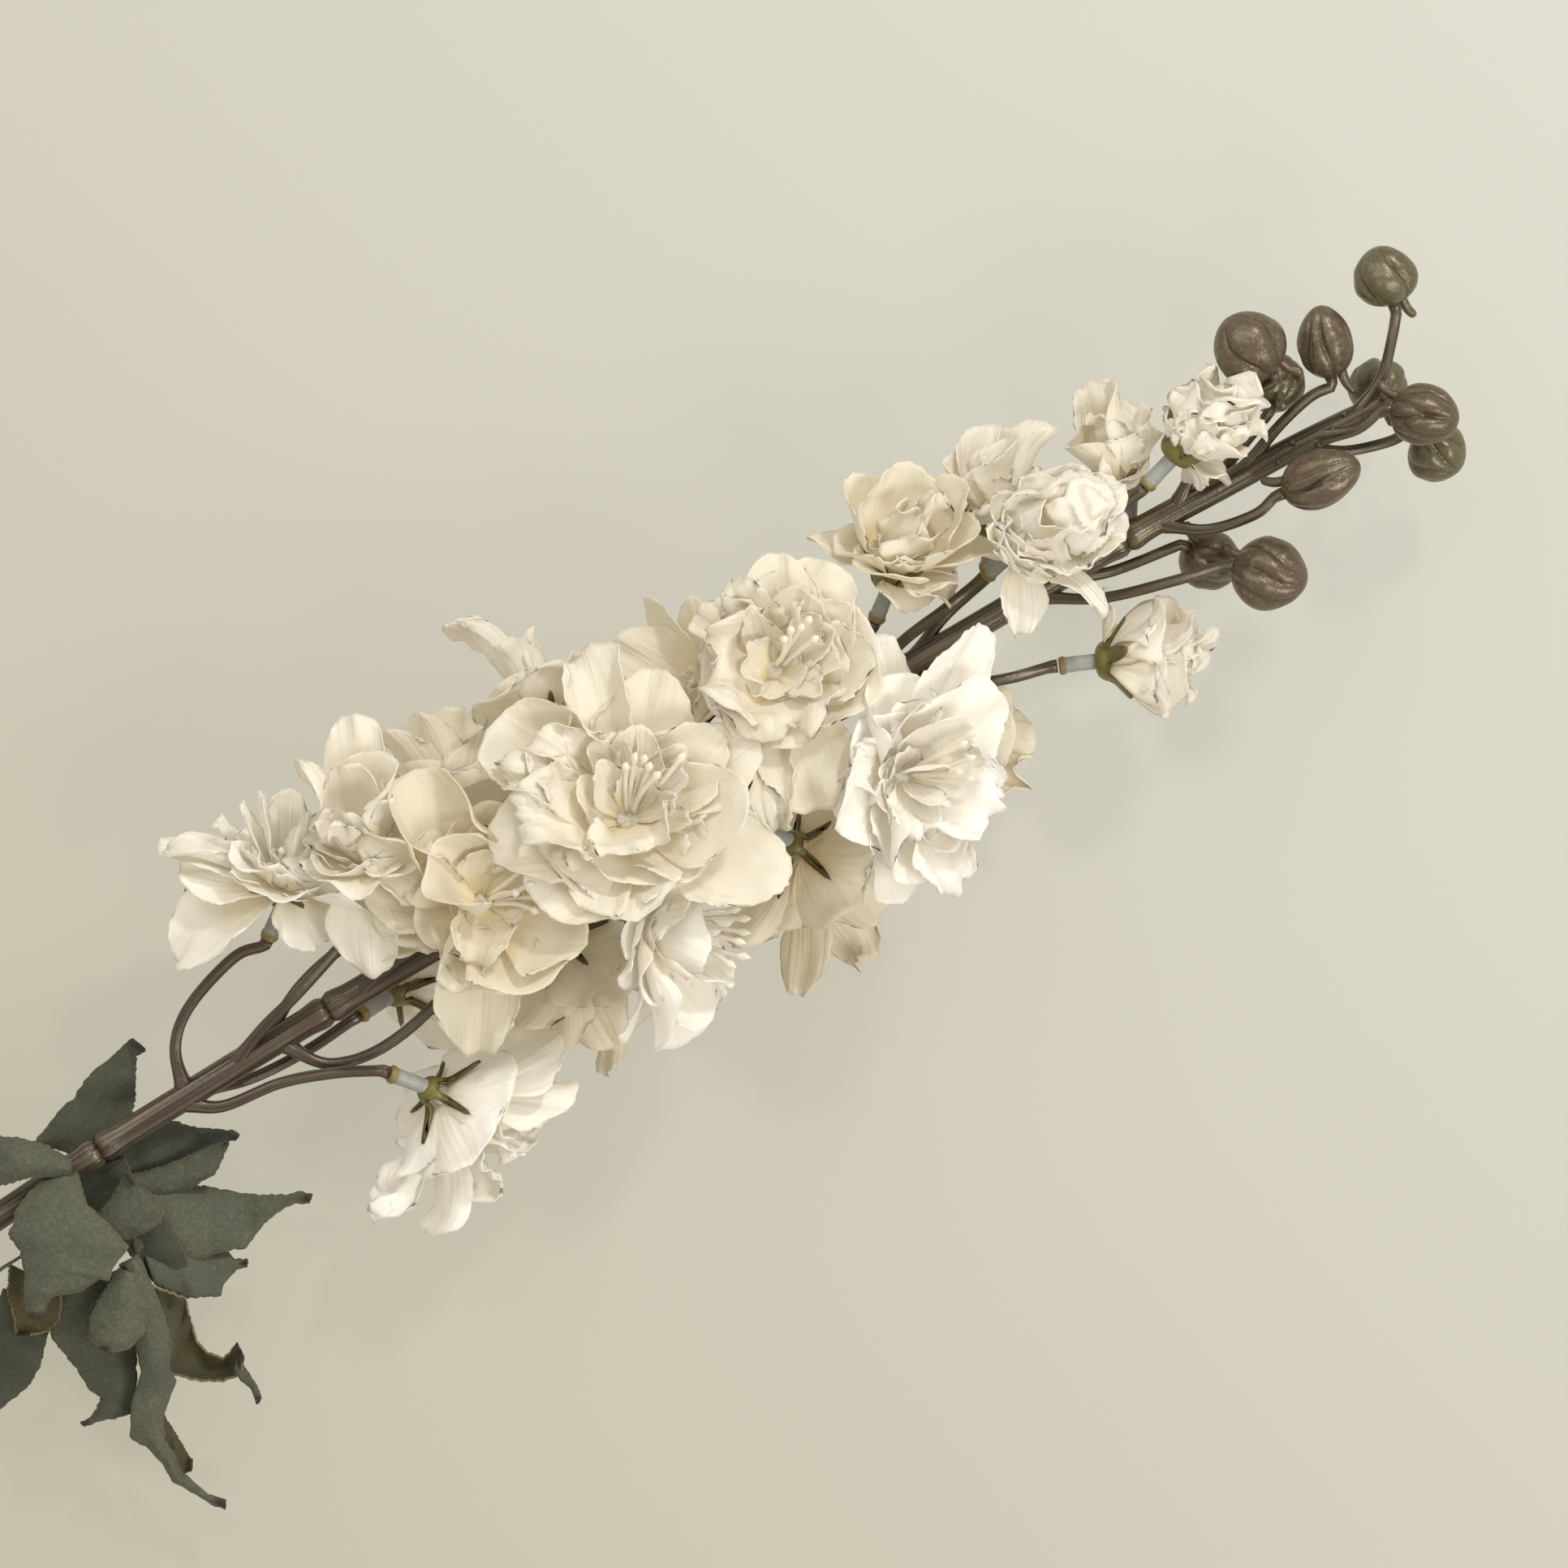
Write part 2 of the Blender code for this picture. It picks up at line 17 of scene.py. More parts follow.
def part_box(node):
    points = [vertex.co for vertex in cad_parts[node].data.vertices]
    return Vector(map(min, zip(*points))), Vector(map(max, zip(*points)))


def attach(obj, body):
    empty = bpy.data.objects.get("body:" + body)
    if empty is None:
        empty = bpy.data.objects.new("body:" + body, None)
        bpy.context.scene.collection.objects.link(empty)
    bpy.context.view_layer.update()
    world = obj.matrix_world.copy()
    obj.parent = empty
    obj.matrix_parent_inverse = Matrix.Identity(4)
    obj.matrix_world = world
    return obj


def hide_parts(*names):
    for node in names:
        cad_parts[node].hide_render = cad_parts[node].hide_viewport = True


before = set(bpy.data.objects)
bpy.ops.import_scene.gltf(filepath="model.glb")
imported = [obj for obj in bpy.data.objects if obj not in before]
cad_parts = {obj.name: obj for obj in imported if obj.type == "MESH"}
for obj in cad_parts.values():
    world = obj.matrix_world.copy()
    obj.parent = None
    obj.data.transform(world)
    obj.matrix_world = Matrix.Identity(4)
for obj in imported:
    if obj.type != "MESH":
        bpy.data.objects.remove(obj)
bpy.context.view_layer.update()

bl_info = {
    "name": "Artificial larkspur spray",
    "version": (1, 0, 0),
    "blender": (4, 5, 0),
    "location": "View3D > Sidebar > Larkspur",
    "description": "Builds the petals, calyxes, stem, buds and leaves of a larkspur spray",
    "category": "Object",
}

MM = 0.001
GAP = 0.3                # between pieces that are pressed together
MERGE = 0.0005           # points closer than this become one
STEM_HEIGHT = 32.0
FLOOR = -STEM_HEIGHT
WIRE_RADIUS = 0.8
WIRE_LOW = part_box("core_wire")[0]
STEM_ORIGIN = Vector((WIRE_LOW.x, WIRE_LOW.y + WIRE_RADIUS * MM, STEM_HEIGHT * MM))
STEM_TO_WORLD = Matrix.Translation(STEM_ORIGIN) @ Matrix.Scale(MM, 4)

# The stem's axis, its radius along it, and its moulded sections from end to end.
STEM_AXIS = [(0, 2, -9), (40, 0.5, -5), (80, 0, -2), (124, 2, 0), (180, 3, 0), (240, 3, 0),
             (300, 3.2, 0), (369, 3.2, 0), (392, 2.4, 0.5), (414, 1.4, 1), (430, 0.2, 1.5)]
STEM_RADII = [(0, 2.7), (120, 2.7), (180, 2.9), (260, 2.8), (369, 2.7), (400, 2.6), (430, 2.2)]
SECTION_ENDS = [("lower_stem", 0, 124), ("lower_flower_section", 124, 179),
                ("upper_flower_section", 179, 369), ("bud_section", 369, 430)]
PEDICEL_RADIUS = 1.25
STALK_RADIUS = 1.2
STRAIGHT_END = 1.5       # how far a stalk runs straight before its flower or bud
STALK_SINK = 0.8         # how far a bud's stalk reaches into the bud
SLEEVE_RADIUS = 1.75
SLEEVE_LENGTH = 8.0
SLEEVE_OVERLAP = 1.5     # how far a sleeve reaches into its calyx
CALYX_DEPTH = 4.5

# Flowers: number, centre of the petals' base, facing, radius, and the pedicel's route from
# the stem: its root along the stem and the points it passes on the way to the sleeve.
FLOWERS = [
    (1, (185, 29, 8), (0.62, 0.66, 0.43), 26, 145, [(148, 12, 1), (155, 18, 2), (168, 22, 3)]),
    (2, (202, 25, 14), (0.26, 0.74, 0.62), 27, 156, [(166, 6.5, 5), (176, 9, 8)]),
    (3, (221, 24, -4), (0.45, 0.87, -0.22), 28, 163, [(176, 10, -3), (192, 13, -4)]),
    (4, (218, 6, 16), (0.20, -0.06, 0.98), 28, 186, [(196, 4.5, 6)]),
    (5, (194, -1, -15), (0.76, 0.01, -0.65), 26, 148, [(157, -1, -5), (170, -2, -8)]),
    (6, (190, -24, 1), (0.38, -0.74, -0.55), 28, 143, [(150, -3, 0), (163, -5, 1), (174, -9, 2)]),
    (7, (252, 5, 23), (0.19, 0.12, 0.97), 34, 221, [(233, 4, 8)]),
    (8, (249, 32, 1), (0.02, 0.93, -0.36), 26, 212, [(224, 13, 1), (238, 17, 1)]),
    (9, (245, -15, 11), (0.55, -0.73, 0.40), 26, 216, [(226, -4, 4)]),
    (10, (227, -10, -10), (0.13, -0.82, -0.56), 27, 167, [(174, -7, -1), (190, -9, -3)]),
    (11, (293, 16, 20), (0.03, 0.16, 0.99), 29, 262, [(273, 8, 6)]),
    (12, (280, 18, 3), (-0.49, 0.82, 0.30), 22, 252, [(264, 7, -3), (277, 8, -5)]),
    (13, (304, -15, 16), (0.40, -0.42, 0.81), 30, 270, [(280, -3, 5), (290, -8, 7)]),
    (14, (279, -18, -6), (0.21, -0.65, -0.73), 27, 246, [(258, -4, -1)]),
    (15, (317, -14, -11.5), (0.50, -0.15, -0.85), 23, 284, [(294, -4, -2)]),
    (16, (325, 22, 8), (0.60, 0.62, 0.50), 20, 290, [(301, 9, 1)]),
    (17, (348, 22, 0), (0.35, 0.86, 0.36), 14, 318, [(328, 8, -1)]),
    (18, (350, 13, 14), (0.66, 0.13, 0.74), 18, 305, [(318, 8, 5), (330, 9.5, 7)]),
    (19, (375, 14, -3), (0.13, 0.94, 0.31), 13, 340, [(352, 7, -3), (364, 7, -5)]),
    (20, (389.3, 13.8, 12), (0.92, 0.30, 0.24), 13, 350, [(364, 8, 5)]),
    (21, (355.5, -17.5, 0), (0.89, -0.44, 0.15), 15, 314, [(322, -4, 1), (333, -9, 1)]),
]

# Buds: number, centre, direction from stalk to tip, width, length, root, and the stalk's way.
BUDS = [
    (1, (410, 24, 14), (-0.18, 0.93, 0.32), 14.4, 14.6, 381, [(392, 11, 5), (402, 15, 8)]),
    (2, (412, 15.5, -3), (0.50, 0.59, -0.64), 12.5, 13, 388, [(396, 6, -2)]),
    (3, (424.5, 17, 5), (0.34, 0.91, 0.20), 11.0, 14.8, 396, [(406, 6.5, 2), (416, 9, 3)]),
    (4, (442, 22.5, 4), (0.20, 0.96, 0.21), 12.6, 12.2, 423, [(431, 5, 3), (437, 11, 3.5)]),
    (5, (431, 4.2, -12), (0.43, 0.48, -0.76), 12.2, 11.5, 421, [(425, 1.5, -3)]),
    (6, (434, -6, 10), (0.68, -0.64, 0.35), 12.5, 14, 413, [(421, -1.5, 5)]),
    (7, (434, -14, -7), (0.43, -0.89, 0.11), 12.4, 11.5, 409, [(417, -4, -2), (426, -7, -5)]),
    (8, (409, -6.5, 11), (0.94, -0.15, 0.30), 11.4, 16.8, 376, [(384, -3.5, 3), (394, -6, 7)]),
    (9, (390.5, -18, 6), (0.70, -0.65, 0.31), 14.6, 15.4, 346, [(358, -4.5, 2), (372, -9, 4)]),
    (10, (382.5, -9.5, -8), (0.47, -0.72, -0.51), 12.4, 13, 354, [(363, -1, -3)]),
]

# The camera looks straight down on VIEW_CENTRE, with the stem turned in its view.
VIEW_TURN = math.radians(30.5)
VIEW_RIGHT = Vector((math.cos(VIEW_TURN), -math.sin(VIEW_TURN), 0))
VIEW_UP = Vector((math.sin(VIEW_TURN), math.cos(VIEW_TURN), 0))
VIEW_CENTRE = Vector((283.2, -4.6, 0))
VIEW_HEIGHT = 1600.0


def srgb(red, green, blue):
    """Scene-linear colour of a paint given in steps of 0 to 255."""
    shares = [step / 255 for step in (red, green, blue)]
    linear = [s / 12.92 if s <= 0.04045 else ((s + 0.055) / 1.055) ** 2.4 for s in shares]
    return (*linear, 1.0)


# ---------------------------------------------------------------- settings

def colour_setting(name, description, *steps):
    """A colour, given in steps of 0 to 255, that the panel shows as a swatch."""
    return FloatVectorProperty(name=name, description=description, default=srgb(*steps), size=4,
                               min=0.0, max=1.0, subtype="COLOR")


def length_setting(name, description, millimetres):
    """A length."""
    return FloatProperty(name=name, description=description, default=millimetres * MM,
                         unit="LENGTH")


def light_setting(name, description, default):
    """An amount of light, never below zero."""
    return FloatProperty(name=name, description=description, default=default, min=0.0)


class LARKSPUR_PG_petals(bpy.types.PropertyGroup):
    """Sizes and colours of the blooms."""

    thickness: length_setting("Petal thickness", "Thickness of a petal's sheet", 0.22)
    stamen_radius: length_setting("Stamen radius", "Radius of a stamen's rod", 0.5)
    cut_depth: length_setting("Cut rim", "How ragged the petals' rims are", 0.3)
    rim: colour_setting("Rim", "Colour of the petals' outer part", 253, 250, 243)
    # Partly the petals' own warm tint, partly painted warm shade deep in a bloom.
    throat_tint_and_shade: colour_setting("Throat", "Colour deep in a bloom", 244, 229, 186)
    heart: colour_setting("Heart", "Colour of the stamens", 250, 242, 222)


class LARKSPUR_PG_green(bpy.types.PropertyGroup):
    """Sizes and colours of the calyxes, sleeves, stem and buds."""

    calyx_wall: length_setting("Calyx wall", "Thickness of a calyx's arms", 0.7)
    calyx: colour_setting("Calyx", "Colour of the calyxes", 112, 104, 48)
    calyx_tip: colour_setting("Calyx tips", "Colour of the calyx arms' tips", 92, 82, 42)
    sleeve: colour_setting("Sleeve", "Colour of the clear sleeves", 192, 194, 188)
    glue: colour_setting("Glue", "Colour of the glue at the sleeves' feet", 156, 136, 82)
    stem: colour_setting("Stem", "Colour of the stem", 74, 54, 46)
    # Painted shade in the stem's grooves.
    groove_shade: colour_setting("Grooves", "Colour in the stem's grooves", 34, 26, 23)
    stem_tip: colour_setting("Stem tip", "Colour of the stem near the buds", 84, 75, 50)
    bud: colour_setting("Bud", "Colour of the buds", 76, 63, 48)
    # Painted shade in the buds' creases.
    bud_seam_shade: colour_setting("Bud seams", "Colour in the buds' seams", 40, 34, 30)


class LARKSPUR_PG_leaves(bpy.types.PropertyGroup):
    """Sizes and colours of the leaves."""

    thickness: length_setting("Leaf thickness", "Thickness of a leaf's sheet", 0.5)
    upper: colour_setting("Upper side", "Colour of the leaves' upper side", 76, 79, 62)
    fleck: colour_setting("Flecks", "Colour of the leaves' pale flecks", 106, 104, 80)
    under: colour_setting("Underside", "Colour of the leaves' underside", 70, 62, 30)
    edge: colour_setting("Cut edge", "Colour of the leaves' cut edge", 132, 112, 66)


class LARKSPUR_PG_stage(bpy.types.PropertyGroup):
    """Camera, lights and floor."""

    focal_length: FloatProperty(name="Focal length", description="The camera's focal length, mm",
                                default=178.9, min=10.0)
    camera_height: length_setting("Camera height", "Height above the stem", VIEW_HEIGHT)
    spray_turn: FloatProperty(name="Turn", description="How the stem slants across the view",
                              default=VIEW_TURN, subtype="ANGLE")
    key_power: light_setting("Key light", "Power of the key light in watts", 6.5)
    fill_power: light_setting("Fill light", "Power of the fill light in watts", 4.5)
    spark_power: light_setting("Gloss light", "Power of the small light in watts", 7.0)
    floor_glow: light_setting("Floor glow", "Light given off by the floor", 0.735)
    floor_near: colour_setting("Floor, dim side", "Floor colour away from the window",
                               194, 187, 166)
    floor_far: colour_setting("Floor, bright side", "Floor colour towards the window",
                              224, 222, 209)


# ---------------------------------------------------------------- shader tools

def feed(slot, value):
    """Link a signal into a socket, or set the socket's own value."""
    if isinstance(value, Signal):
        slot.id_data.links.new(value.socket, slot)
    else:
        slot.default_value = value


class Signal:
    """What a socket gives over a surface; plain arithmetic on it adds Math nodes."""

    def __init__(self, socket):
        self.socket = socket

    def _maths(self, operation, *values):
        node = self.socket.id_data.nodes.new("ShaderNodeMath")
        node.operation = operation
        for slot, value in zip(node.inputs, values):
            feed(slot, value)
        return Signal(node.outputs[0])

    def __add__(self, other):
        return self._maths("ADD", self, other)

    def __mul__(self, other):
        return self._maths("MULTIPLY", self, other)

    def __sub__(self, other):
        return self._maths("SUBTRACT", self, other)

    def __rsub__(self, other):
        return self._maths("SUBTRACT", other, self)

    __radd__, __rmul__ = __add__, __mul__


class Finish:
    """A material under construction, whose node method adds any node."""

    def __init__(self, name):
        self.material = bpy.data.materials.new(name)
        self.material.use_nodes = True
        self.nodes = self.material.node_tree.nodes
        self.shader = self.nodes["Principled BSDF"]
        self.place = self.stretch(self.node("TexCoord", {}, {}, "Object"), (1 / MM,) * 3)

    def node(self, kind, settings, inputs, output=0):
        """Add a node: its settings first, then its sockets' values or links."""
        made = self.nodes.new("ShaderNode" + kind)
        for name, value in settings.items():
            setattr(made, name, value)
        for name, value in inputs.items():
            feed(made.inputs[name], value)
        return Signal(made.outputs[output])

    def mix(self, factor, low, high):
        """Blend two colours by a signal."""
        return self.node("Mix", {"data_type": "RGBA"}, {0: factor, 6: low, 7: high}, 2)

    def ramp(self, signal, low, high):
        """Spread the stretch of a signal from low to high over 0 to 1, with soft ends."""
        return self.node("MapRange", {"interpolation_type": "SMOOTHSTEP"},
                         {"Value": signal, "From Min": low, "From Max": high})

    def stretch(self, vector, scale):
        """Multiply a vector's parts, which makes a pattern on it finer that way."""
        return self.node("Mapping", {}, {"Vector": vector, "Scale": scale})

    def speckle(self, vector, scale, detail=3.0, roughness=0.55):
        """A cloudy noise, with scale in cycles per unit of its vector."""
        return self.node("TexNoise", {}, {"Vector": vector, "Scale": scale, "Detail": detail,
                                          "Roughness": roughness})

    def attribute(self, name):
        """A value that the piece's points carry."""
        return self.node("Attribute", {"attribute_name": name}, {}, "Fac")

    def uv(self):
        """The piece's own map, and its coordinates across and along, both 0 to 1."""
        sheet = self.node("TexCoord", {}, {}, "UV")
        across = self.node("SeparateXYZ", {}, {"Vector": sheet})
        return sheet, across, Signal(across.socket.node.outputs["Y"])

    def surface(self, inputs):
        """Set or feed sockets of the surface's own shader."""
        for name, value in inputs.items():
            feed(self.shader.inputs[name], value)

    def bump(self, height, distance, strength):
        """Raise the surface by a height signal, with distance in millimetres."""
        raised = self.node("Bump", {}, {"Strength": strength, "Distance": distance * MM,
                                        "Height": height})
        self.surface({"Normal": raised})
        return raised

    def let_light_through(self, share, colour, normal):
        """Let part of the light pass through a thin sheet."""
        glow = self.node("BsdfTranslucent", {}, {"Color": colour, "Normal": normal})
        own = Signal(self.shader.outputs[0])
        both = self.node("MixShader", {}, {0: share, 1: own, 2: glow})
        feed(self.nodes["Material Output"].inputs["Surface"], both)


def petal_finish(name, rim, throat_tint_and_shade):
    """Thin waxed cloth: warm deep in a bloom, cream at the rim, pleated and ribbed lengthwise.

    The warmth deep in a bloom is partly the cloth's own tint and partly painted warm shade. Flowers
    that lie in light are painted paler, the ribs' hollows carry painted shade, and the cloth gives
    off a faint painted glow.
    """
    finish = Finish(name)
    sheet, _, along = finish.uv()
    clouds = finish.speckle(finish.place, 0.09, 2.0)
    weave = finish.speckle(finish.place, 4.0, 2.0)
    shift = finish.node("VectorMath", {"operation": "MULTIPLY"},
                        {0: finish.place, 1: (0.03,) * 3})

    def lengthwise(across, lengths, detail):
        stretched = finish.node("VectorMath", {"operation": "MULTIPLY_ADD"},
                                {0: sheet, 1: (across, lengths, 1), 2: shift})
        return finish.speckle(stretched, 1.0, detail)
    ribs = lengthwise(30, 1.6, 3.0)
    pleats = lengthwise(7, 0.9, 1.0)
    # How pale each flower's cloth is: partly its own colour, partly painted light on flowers that
    # lie in light.
    lit_whiteness = finish.attribute("whiteness_and_light")
    cream, cream_deep = srgb(236, 229, 211), srgb(252, 245, 226)
    outer = finish.mix(lit_whiteness, cream, rim)
    # Colour near the claw: partly the cloth's own warm tint, partly painted warm shade deep in the
    # bloom.
    deep = finish.mix(lit_whiteness, throat_tint_and_shade, cream_deep)
    base = finish.mix(finish.ramp(along + clouds * 0.3, 0.15, 0.75), deep, outer)
    rib_shade, speck_brown = srgb(226, 206, 164), srgb(196, 158, 108)
    base = finish.mix(finish.ramp(ribs, 0.5, 0.3) * 0.1, base, rib_shade)
    specks = finish.ramp(finish.speckle(finish.place, 0.55, 1.0), 0.76, 0.79)
    base = finish.mix(specks * 0.25, base, speck_brown)
    finish.surface({
        "Base Color": base,
        "Roughness": 0.42 + weave * 0.2,
        "Specular IOR Level": 0.35,
        "Sheen Weight": 0.08,
        # A faint painted glow: the cloth gives off a little warm light of its own, which lifts its
        # shade.
        "Emission Color": finish.mix(0.5, base, deep),
        "Emission Strength": 0.06,
    })
    normal = finish.bump(ribs * 0.45 + pleats * 1.6 + weave * 0.12 + clouds, 0.6, 0.9)
    warm_glow, pale_glow = srgb(253, 236, 184), srgb(255, 247, 226)
    through = finish.mix(0.3, base, finish.mix(lit_whiteness, warm_glow, pale_glow))
    finish.let_light_through(0.3, through, normal)
    return finish.material


def heart_finish(name, colour):
    """Cloudy, half-clear moulded stamens."""
    finish = Finish(name)
    clouds = finish.speckle(finish.place, 0.5, 2.0)
    base = finish.mix(clouds, colour, srgb(252, 250, 244))
    finish.surface({"Base Color": base, "Roughness": 0.3})
    finish.let_light_through(0.35, base, finish.bump(clouds, 0.1, 0.6))
    return finish.material


def calyx_finish(name, colour, tip):
    """Satin olive moulding, darker towards the arms' tips, with fine ribs."""
    finish = Finish(name)
    sheet, _, along = finish.uv()
    clouds = finish.speckle(finish.place, 0.45, 4.0)
    finish.surface({
        "Base Color": finish.mix(finish.ramp(along + clouds * 0.5, 0.55, 1.2), colour, tip),
        "Roughness": 0.22 + clouds * 0.2,
    })
    ribs = finish.speckle(finish.stretch(sheet, (60, 2, 1)), 1.0, 2.0)
    finish.bump(ribs * 0.6 + clouds, 0.15, 0.8)
    return finish.material


def sleeve_finish(name, colour, glue):
    """Milky tube, with a bead of yellow glue round its foot."""
    finish = Finish(name)
    _, _, along = finish.uv()
    clouds = finish.speckle(finish.place, 0.6, 3.0)
    foot = 1.0 - finish.ramp(along + clouds * 0.12, 0.20, 0.30)
    base = finish.mix(foot, finish.mix(clouds, colour, srgb(160, 160, 154)), glue)
    finish.surface({"Base Color": base, "Roughness": 0.2 + clouds * 0.3})
    finish.let_light_through(0.3, base, finish.bump(clouds, 0.25, 0.8))
    return finish.material


def stem_finish(name, stem, dark, tip):
    """Moulded stem: fine lengthwise grooves with painted shade in them and painted highlights on
    their ridges, brown-purple turning olive near the buds.
    """
    finish = Finish(name)
    sheet, _, _ = finish.uv()
    along_spray = finish.node("SeparateXYZ", {}, {"Vector": finish.place})
    grooves = finish.speckle(finish.stretch(sheet, (15, 0.9, 1)), 1.0, 1.5, 0.5)
    clouds = finish.speckle(finish.place, 0.16, 4.0)
    grain = finish.speckle(finish.place, 1.0, 4.0)
    cut_end = STEM_ORIGIN.x / MM
    khaki, ridge_highlight = srgb(76, 70, 56), srgb(140, 124, 106)
    base = finish.mix(finish.ramp(clouds, 0.35, 0.65), stem, khaki)
    base = finish.mix(finish.ramp(along_spray, cut_end + 250, cut_end + 390), base, tip)
    # Painted shade in the grooves.
    base = finish.mix(finish.ramp(grooves, 0.56, 0.38) * 0.95, base, dark)
    # Painted highlights along the ridges.
    base = finish.mix(finish.ramp(grooves, 0.58, 0.72) * 0.4, base, ridge_highlight)
    finish.surface({
        "Base Color": base,
        "Roughness": 0.2 + grain * 0.25,
        "Specular IOR Level": 1.0,
        "Specular Tint": (1.0, 0.87, 0.68, 1.0),
    })
    finish.bump(grooves + grain * 0.15, 0.6, 0.9)
    return finish.material


def bud_finish(name, bud, seam_shade):
    """Satin bud skin, finely pitted, with painted shade in its creases and olive clouds."""
    finish = Finish(name)
    clouds = finish.speckle(finish.place, 0.10, 4.0)
    pits = finish.speckle(finish.place, 0.8, 4.0, 0.65)
    olive, pale_pit = srgb(82, 78, 52), srgb(134, 122, 98)
    greenness = clouds + finish.attribute("olive") * 0.25
    base = finish.mix(finish.ramp(greenness, 0.45, 0.8), bud, olive)
    base = finish.mix(finish.ramp(pits, 0.5, 0.75) * 0.5, base, pale_pit)
    finish.surface({
        # Painted shade along the creases.
        "Base Color": finish.mix(finish.attribute("crease") * 0.85, base, seam_shade),
        "Roughness": 0.16 + pits * 0.3,
        "Specular IOR Level": 1.0,
        "Specular Tint": (1.0, 0.86, 0.66, 1.0),
    })
    finish.bump(pits * 0.6 + clouds, 0.3, 0.9)
    return finish.material


def leaf_finish(name, upper, fleck, edge, felt):
    """Felted leaf cloth: a slanting weave, pale flecks, a yellow cut edge and a dark tip, with
    painted shade on the blades that lie in shade.
    """
    finish = Finish(name)
    _, across, along = finish.uv()
    flecks = finish.speckle(finish.place, 1.1, 4.0, 0.7)
    clouds = finish.speckle(finish.place, 0.07, 3.0)
    slanted = finish.node("Mapping", {}, {"Vector": finish.place, "Rotation": (0, 0, 1.5)})
    weave = finish.node("TexWave", {}, {"Vector": slanted, "Scale": 0.9, "Distortion": 2.5,
                                        "Detail": 2.0, "Detail Scale": 1.5}, "Fac")
    blue_cloud, shade, tip_brown = srgb(66, 72, 66), srgb(34, 34, 26), srgb(44, 36, 30)
    base = finish.mix(finish.ramp(flecks * 0.88 + weave * 0.12, 0.42, 0.66) * felt, upper, fleck)
    base = finish.mix(finish.ramp(clouds, 0.45, 0.75) * 0.35, base, blue_cloud)
    # Painted shade on blades that lie in shade, by how much each blade carries.
    base = finish.mix(finish.attribute("dark") * 0.75, base, shade)
    rim = finish.ramp((across - 0.5) * (across - 0.5) * 4.0 + flecks * 0.02, 0.955, 0.985)
    base = finish.mix(rim * 0.7, base, edge)
    finish.surface({
        "Base Color": finish.mix(finish.ramp(along + flecks * 0.02, 0.955, 0.99), base,
                                 tip_brown),
        "Roughness": 0.6 + flecks * 0.3,
        "Sheen Weight": 0.08,
    })
    finish.bump(flecks * 0.6 + weave * 0.2 + clouds * 0.6, 0.3, 0.8)
    return finish.material


def wire_finish(name):
    """Drawn steel with a cut end."""
    finish = Finish(name)
    drawn = finish.speckle(finish.stretch(finish.place, (1, 8, 8)), 0.8, 3.0)
    finish.surface({
        "Base Color": finish.mix(drawn, srgb(150, 150, 148), srgb(196, 196, 194)),
        "Roughness": 0.25 + drawn * 0.25,
        "Metallic": 1.0,
    })
    finish.bump(drawn, 0.03, 0.5)
    return finish.material


# ---------------------------------------------------------------- lines and pieces

def smooth_route(points, per_span):
    """Points on the smooth curve that passes through the given ones."""
    knots = [Vector(p) for p in points]
    knots = [2 * knots[0] - knots[1]] + knots + [2 * knots[-1] - knots[-2]]
    route = []
    for a, b, c, d in zip(knots, knots[1:], knots[2:], knots[3:]):
        for step in range(per_span):
            t = step / per_span
            route.append(0.5 * (2 * b + (c - a) * t + (2 * a - 5 * b + 4 * c - d) * t * t
                                + (3 * b - a - 3 * c + d) * t ** 3))
    return route + [knots[-2]]


STEM_ROUTE = smooth_route(STEM_AXIS, 24)


def on_stem(x):
    """The point of the stem's axis at a distance x along the spray."""
    for a, b in zip(STEM_ROUTE, STEM_ROUTE[1:]):
        if x <= b.x:
            return a.lerp(b, (x - a.x) / (b.x - a.x))
    return STEM_ROUTE[-1].copy()


def blend(stations, at):
    """Value at a place, from a list of (place, value) with straight stretches between."""
    for (a, low), (b, high) in zip(stations, stations[1:]):
        if at <= b:
            return low + (high - low) * (at - a) / (b - a)
    return stations[-1][1]


def smoothstep(low, high, value):
    """0 below low, 1 above high, with a soft rise between."""
    t = min(1.0, max(0.0, (value - low) / (high - low)))
    return t * t * (3 - 2 * t)


def hump(value, middle, width):
    """A smooth hump of height 1 round a middle."""
    return math.exp(-((value - middle) / width) ** 2)


def round_end(share, start):
    """1 up to a start, then falling to a small tip like a dome."""
    if share <= start:
        return 1.0
    return math.sqrt(max(0.02, 1 - ((share - start) / (1 - start)) ** 2))


def swing(first, second, angle):
    """The direction that is turned from first towards second by an angle."""
    return first * math.cos(angle) + second * math.sin(angle)


def in_view(base, right, up, rise):
    """The place to the right of, above and nearer than a base, as the camera sees it."""
    return base + VIEW_RIGHT * right + VIEW_UP * up + Vector((0, 0, rise))


class Line:
    """A smooth line with a steady pair of side directions along it."""

    def __init__(self, points, side=(0, 0, 1)):
        self.points = points
        ahead = [(b - a).normalized() for a, b in zip(points, points[1:])]
        self.ways = [ahead[0]] + [(a + b).normalized() for a, b in zip(ahead, ahead[1:])]
        self.ways.append(ahead[-1])
        side = Vector(side)
        self.sides = []
        for way in self.ways:
            side = (side - way * side.dot(way)).normalized()
            self.sides.append(side)
        self.runs = [0.0]
        for a, b in zip(points, points[1:]):
            self.runs.append(self.runs[-1] + (b - a).length)
        self.length = self.runs[-1]

    def at(self, share):
        """Point, side and up at a share of the line's length."""
        run = min(max(share, 0.0), 1.0) * self.length
        low = min(bisect_right(self.runs, run), len(self.runs) - 1) - 1
        t = (run - self.runs[low]) / (self.runs[low + 1] - self.runs[low])
        way = self.ways[low].lerp(self.ways[low + 1], t).normalized()
        side = self.sides[low].lerp(self.sides[low + 1], t).normalized()
        return self.points[low].lerp(self.points[low + 1], t), side, way.cross(side)


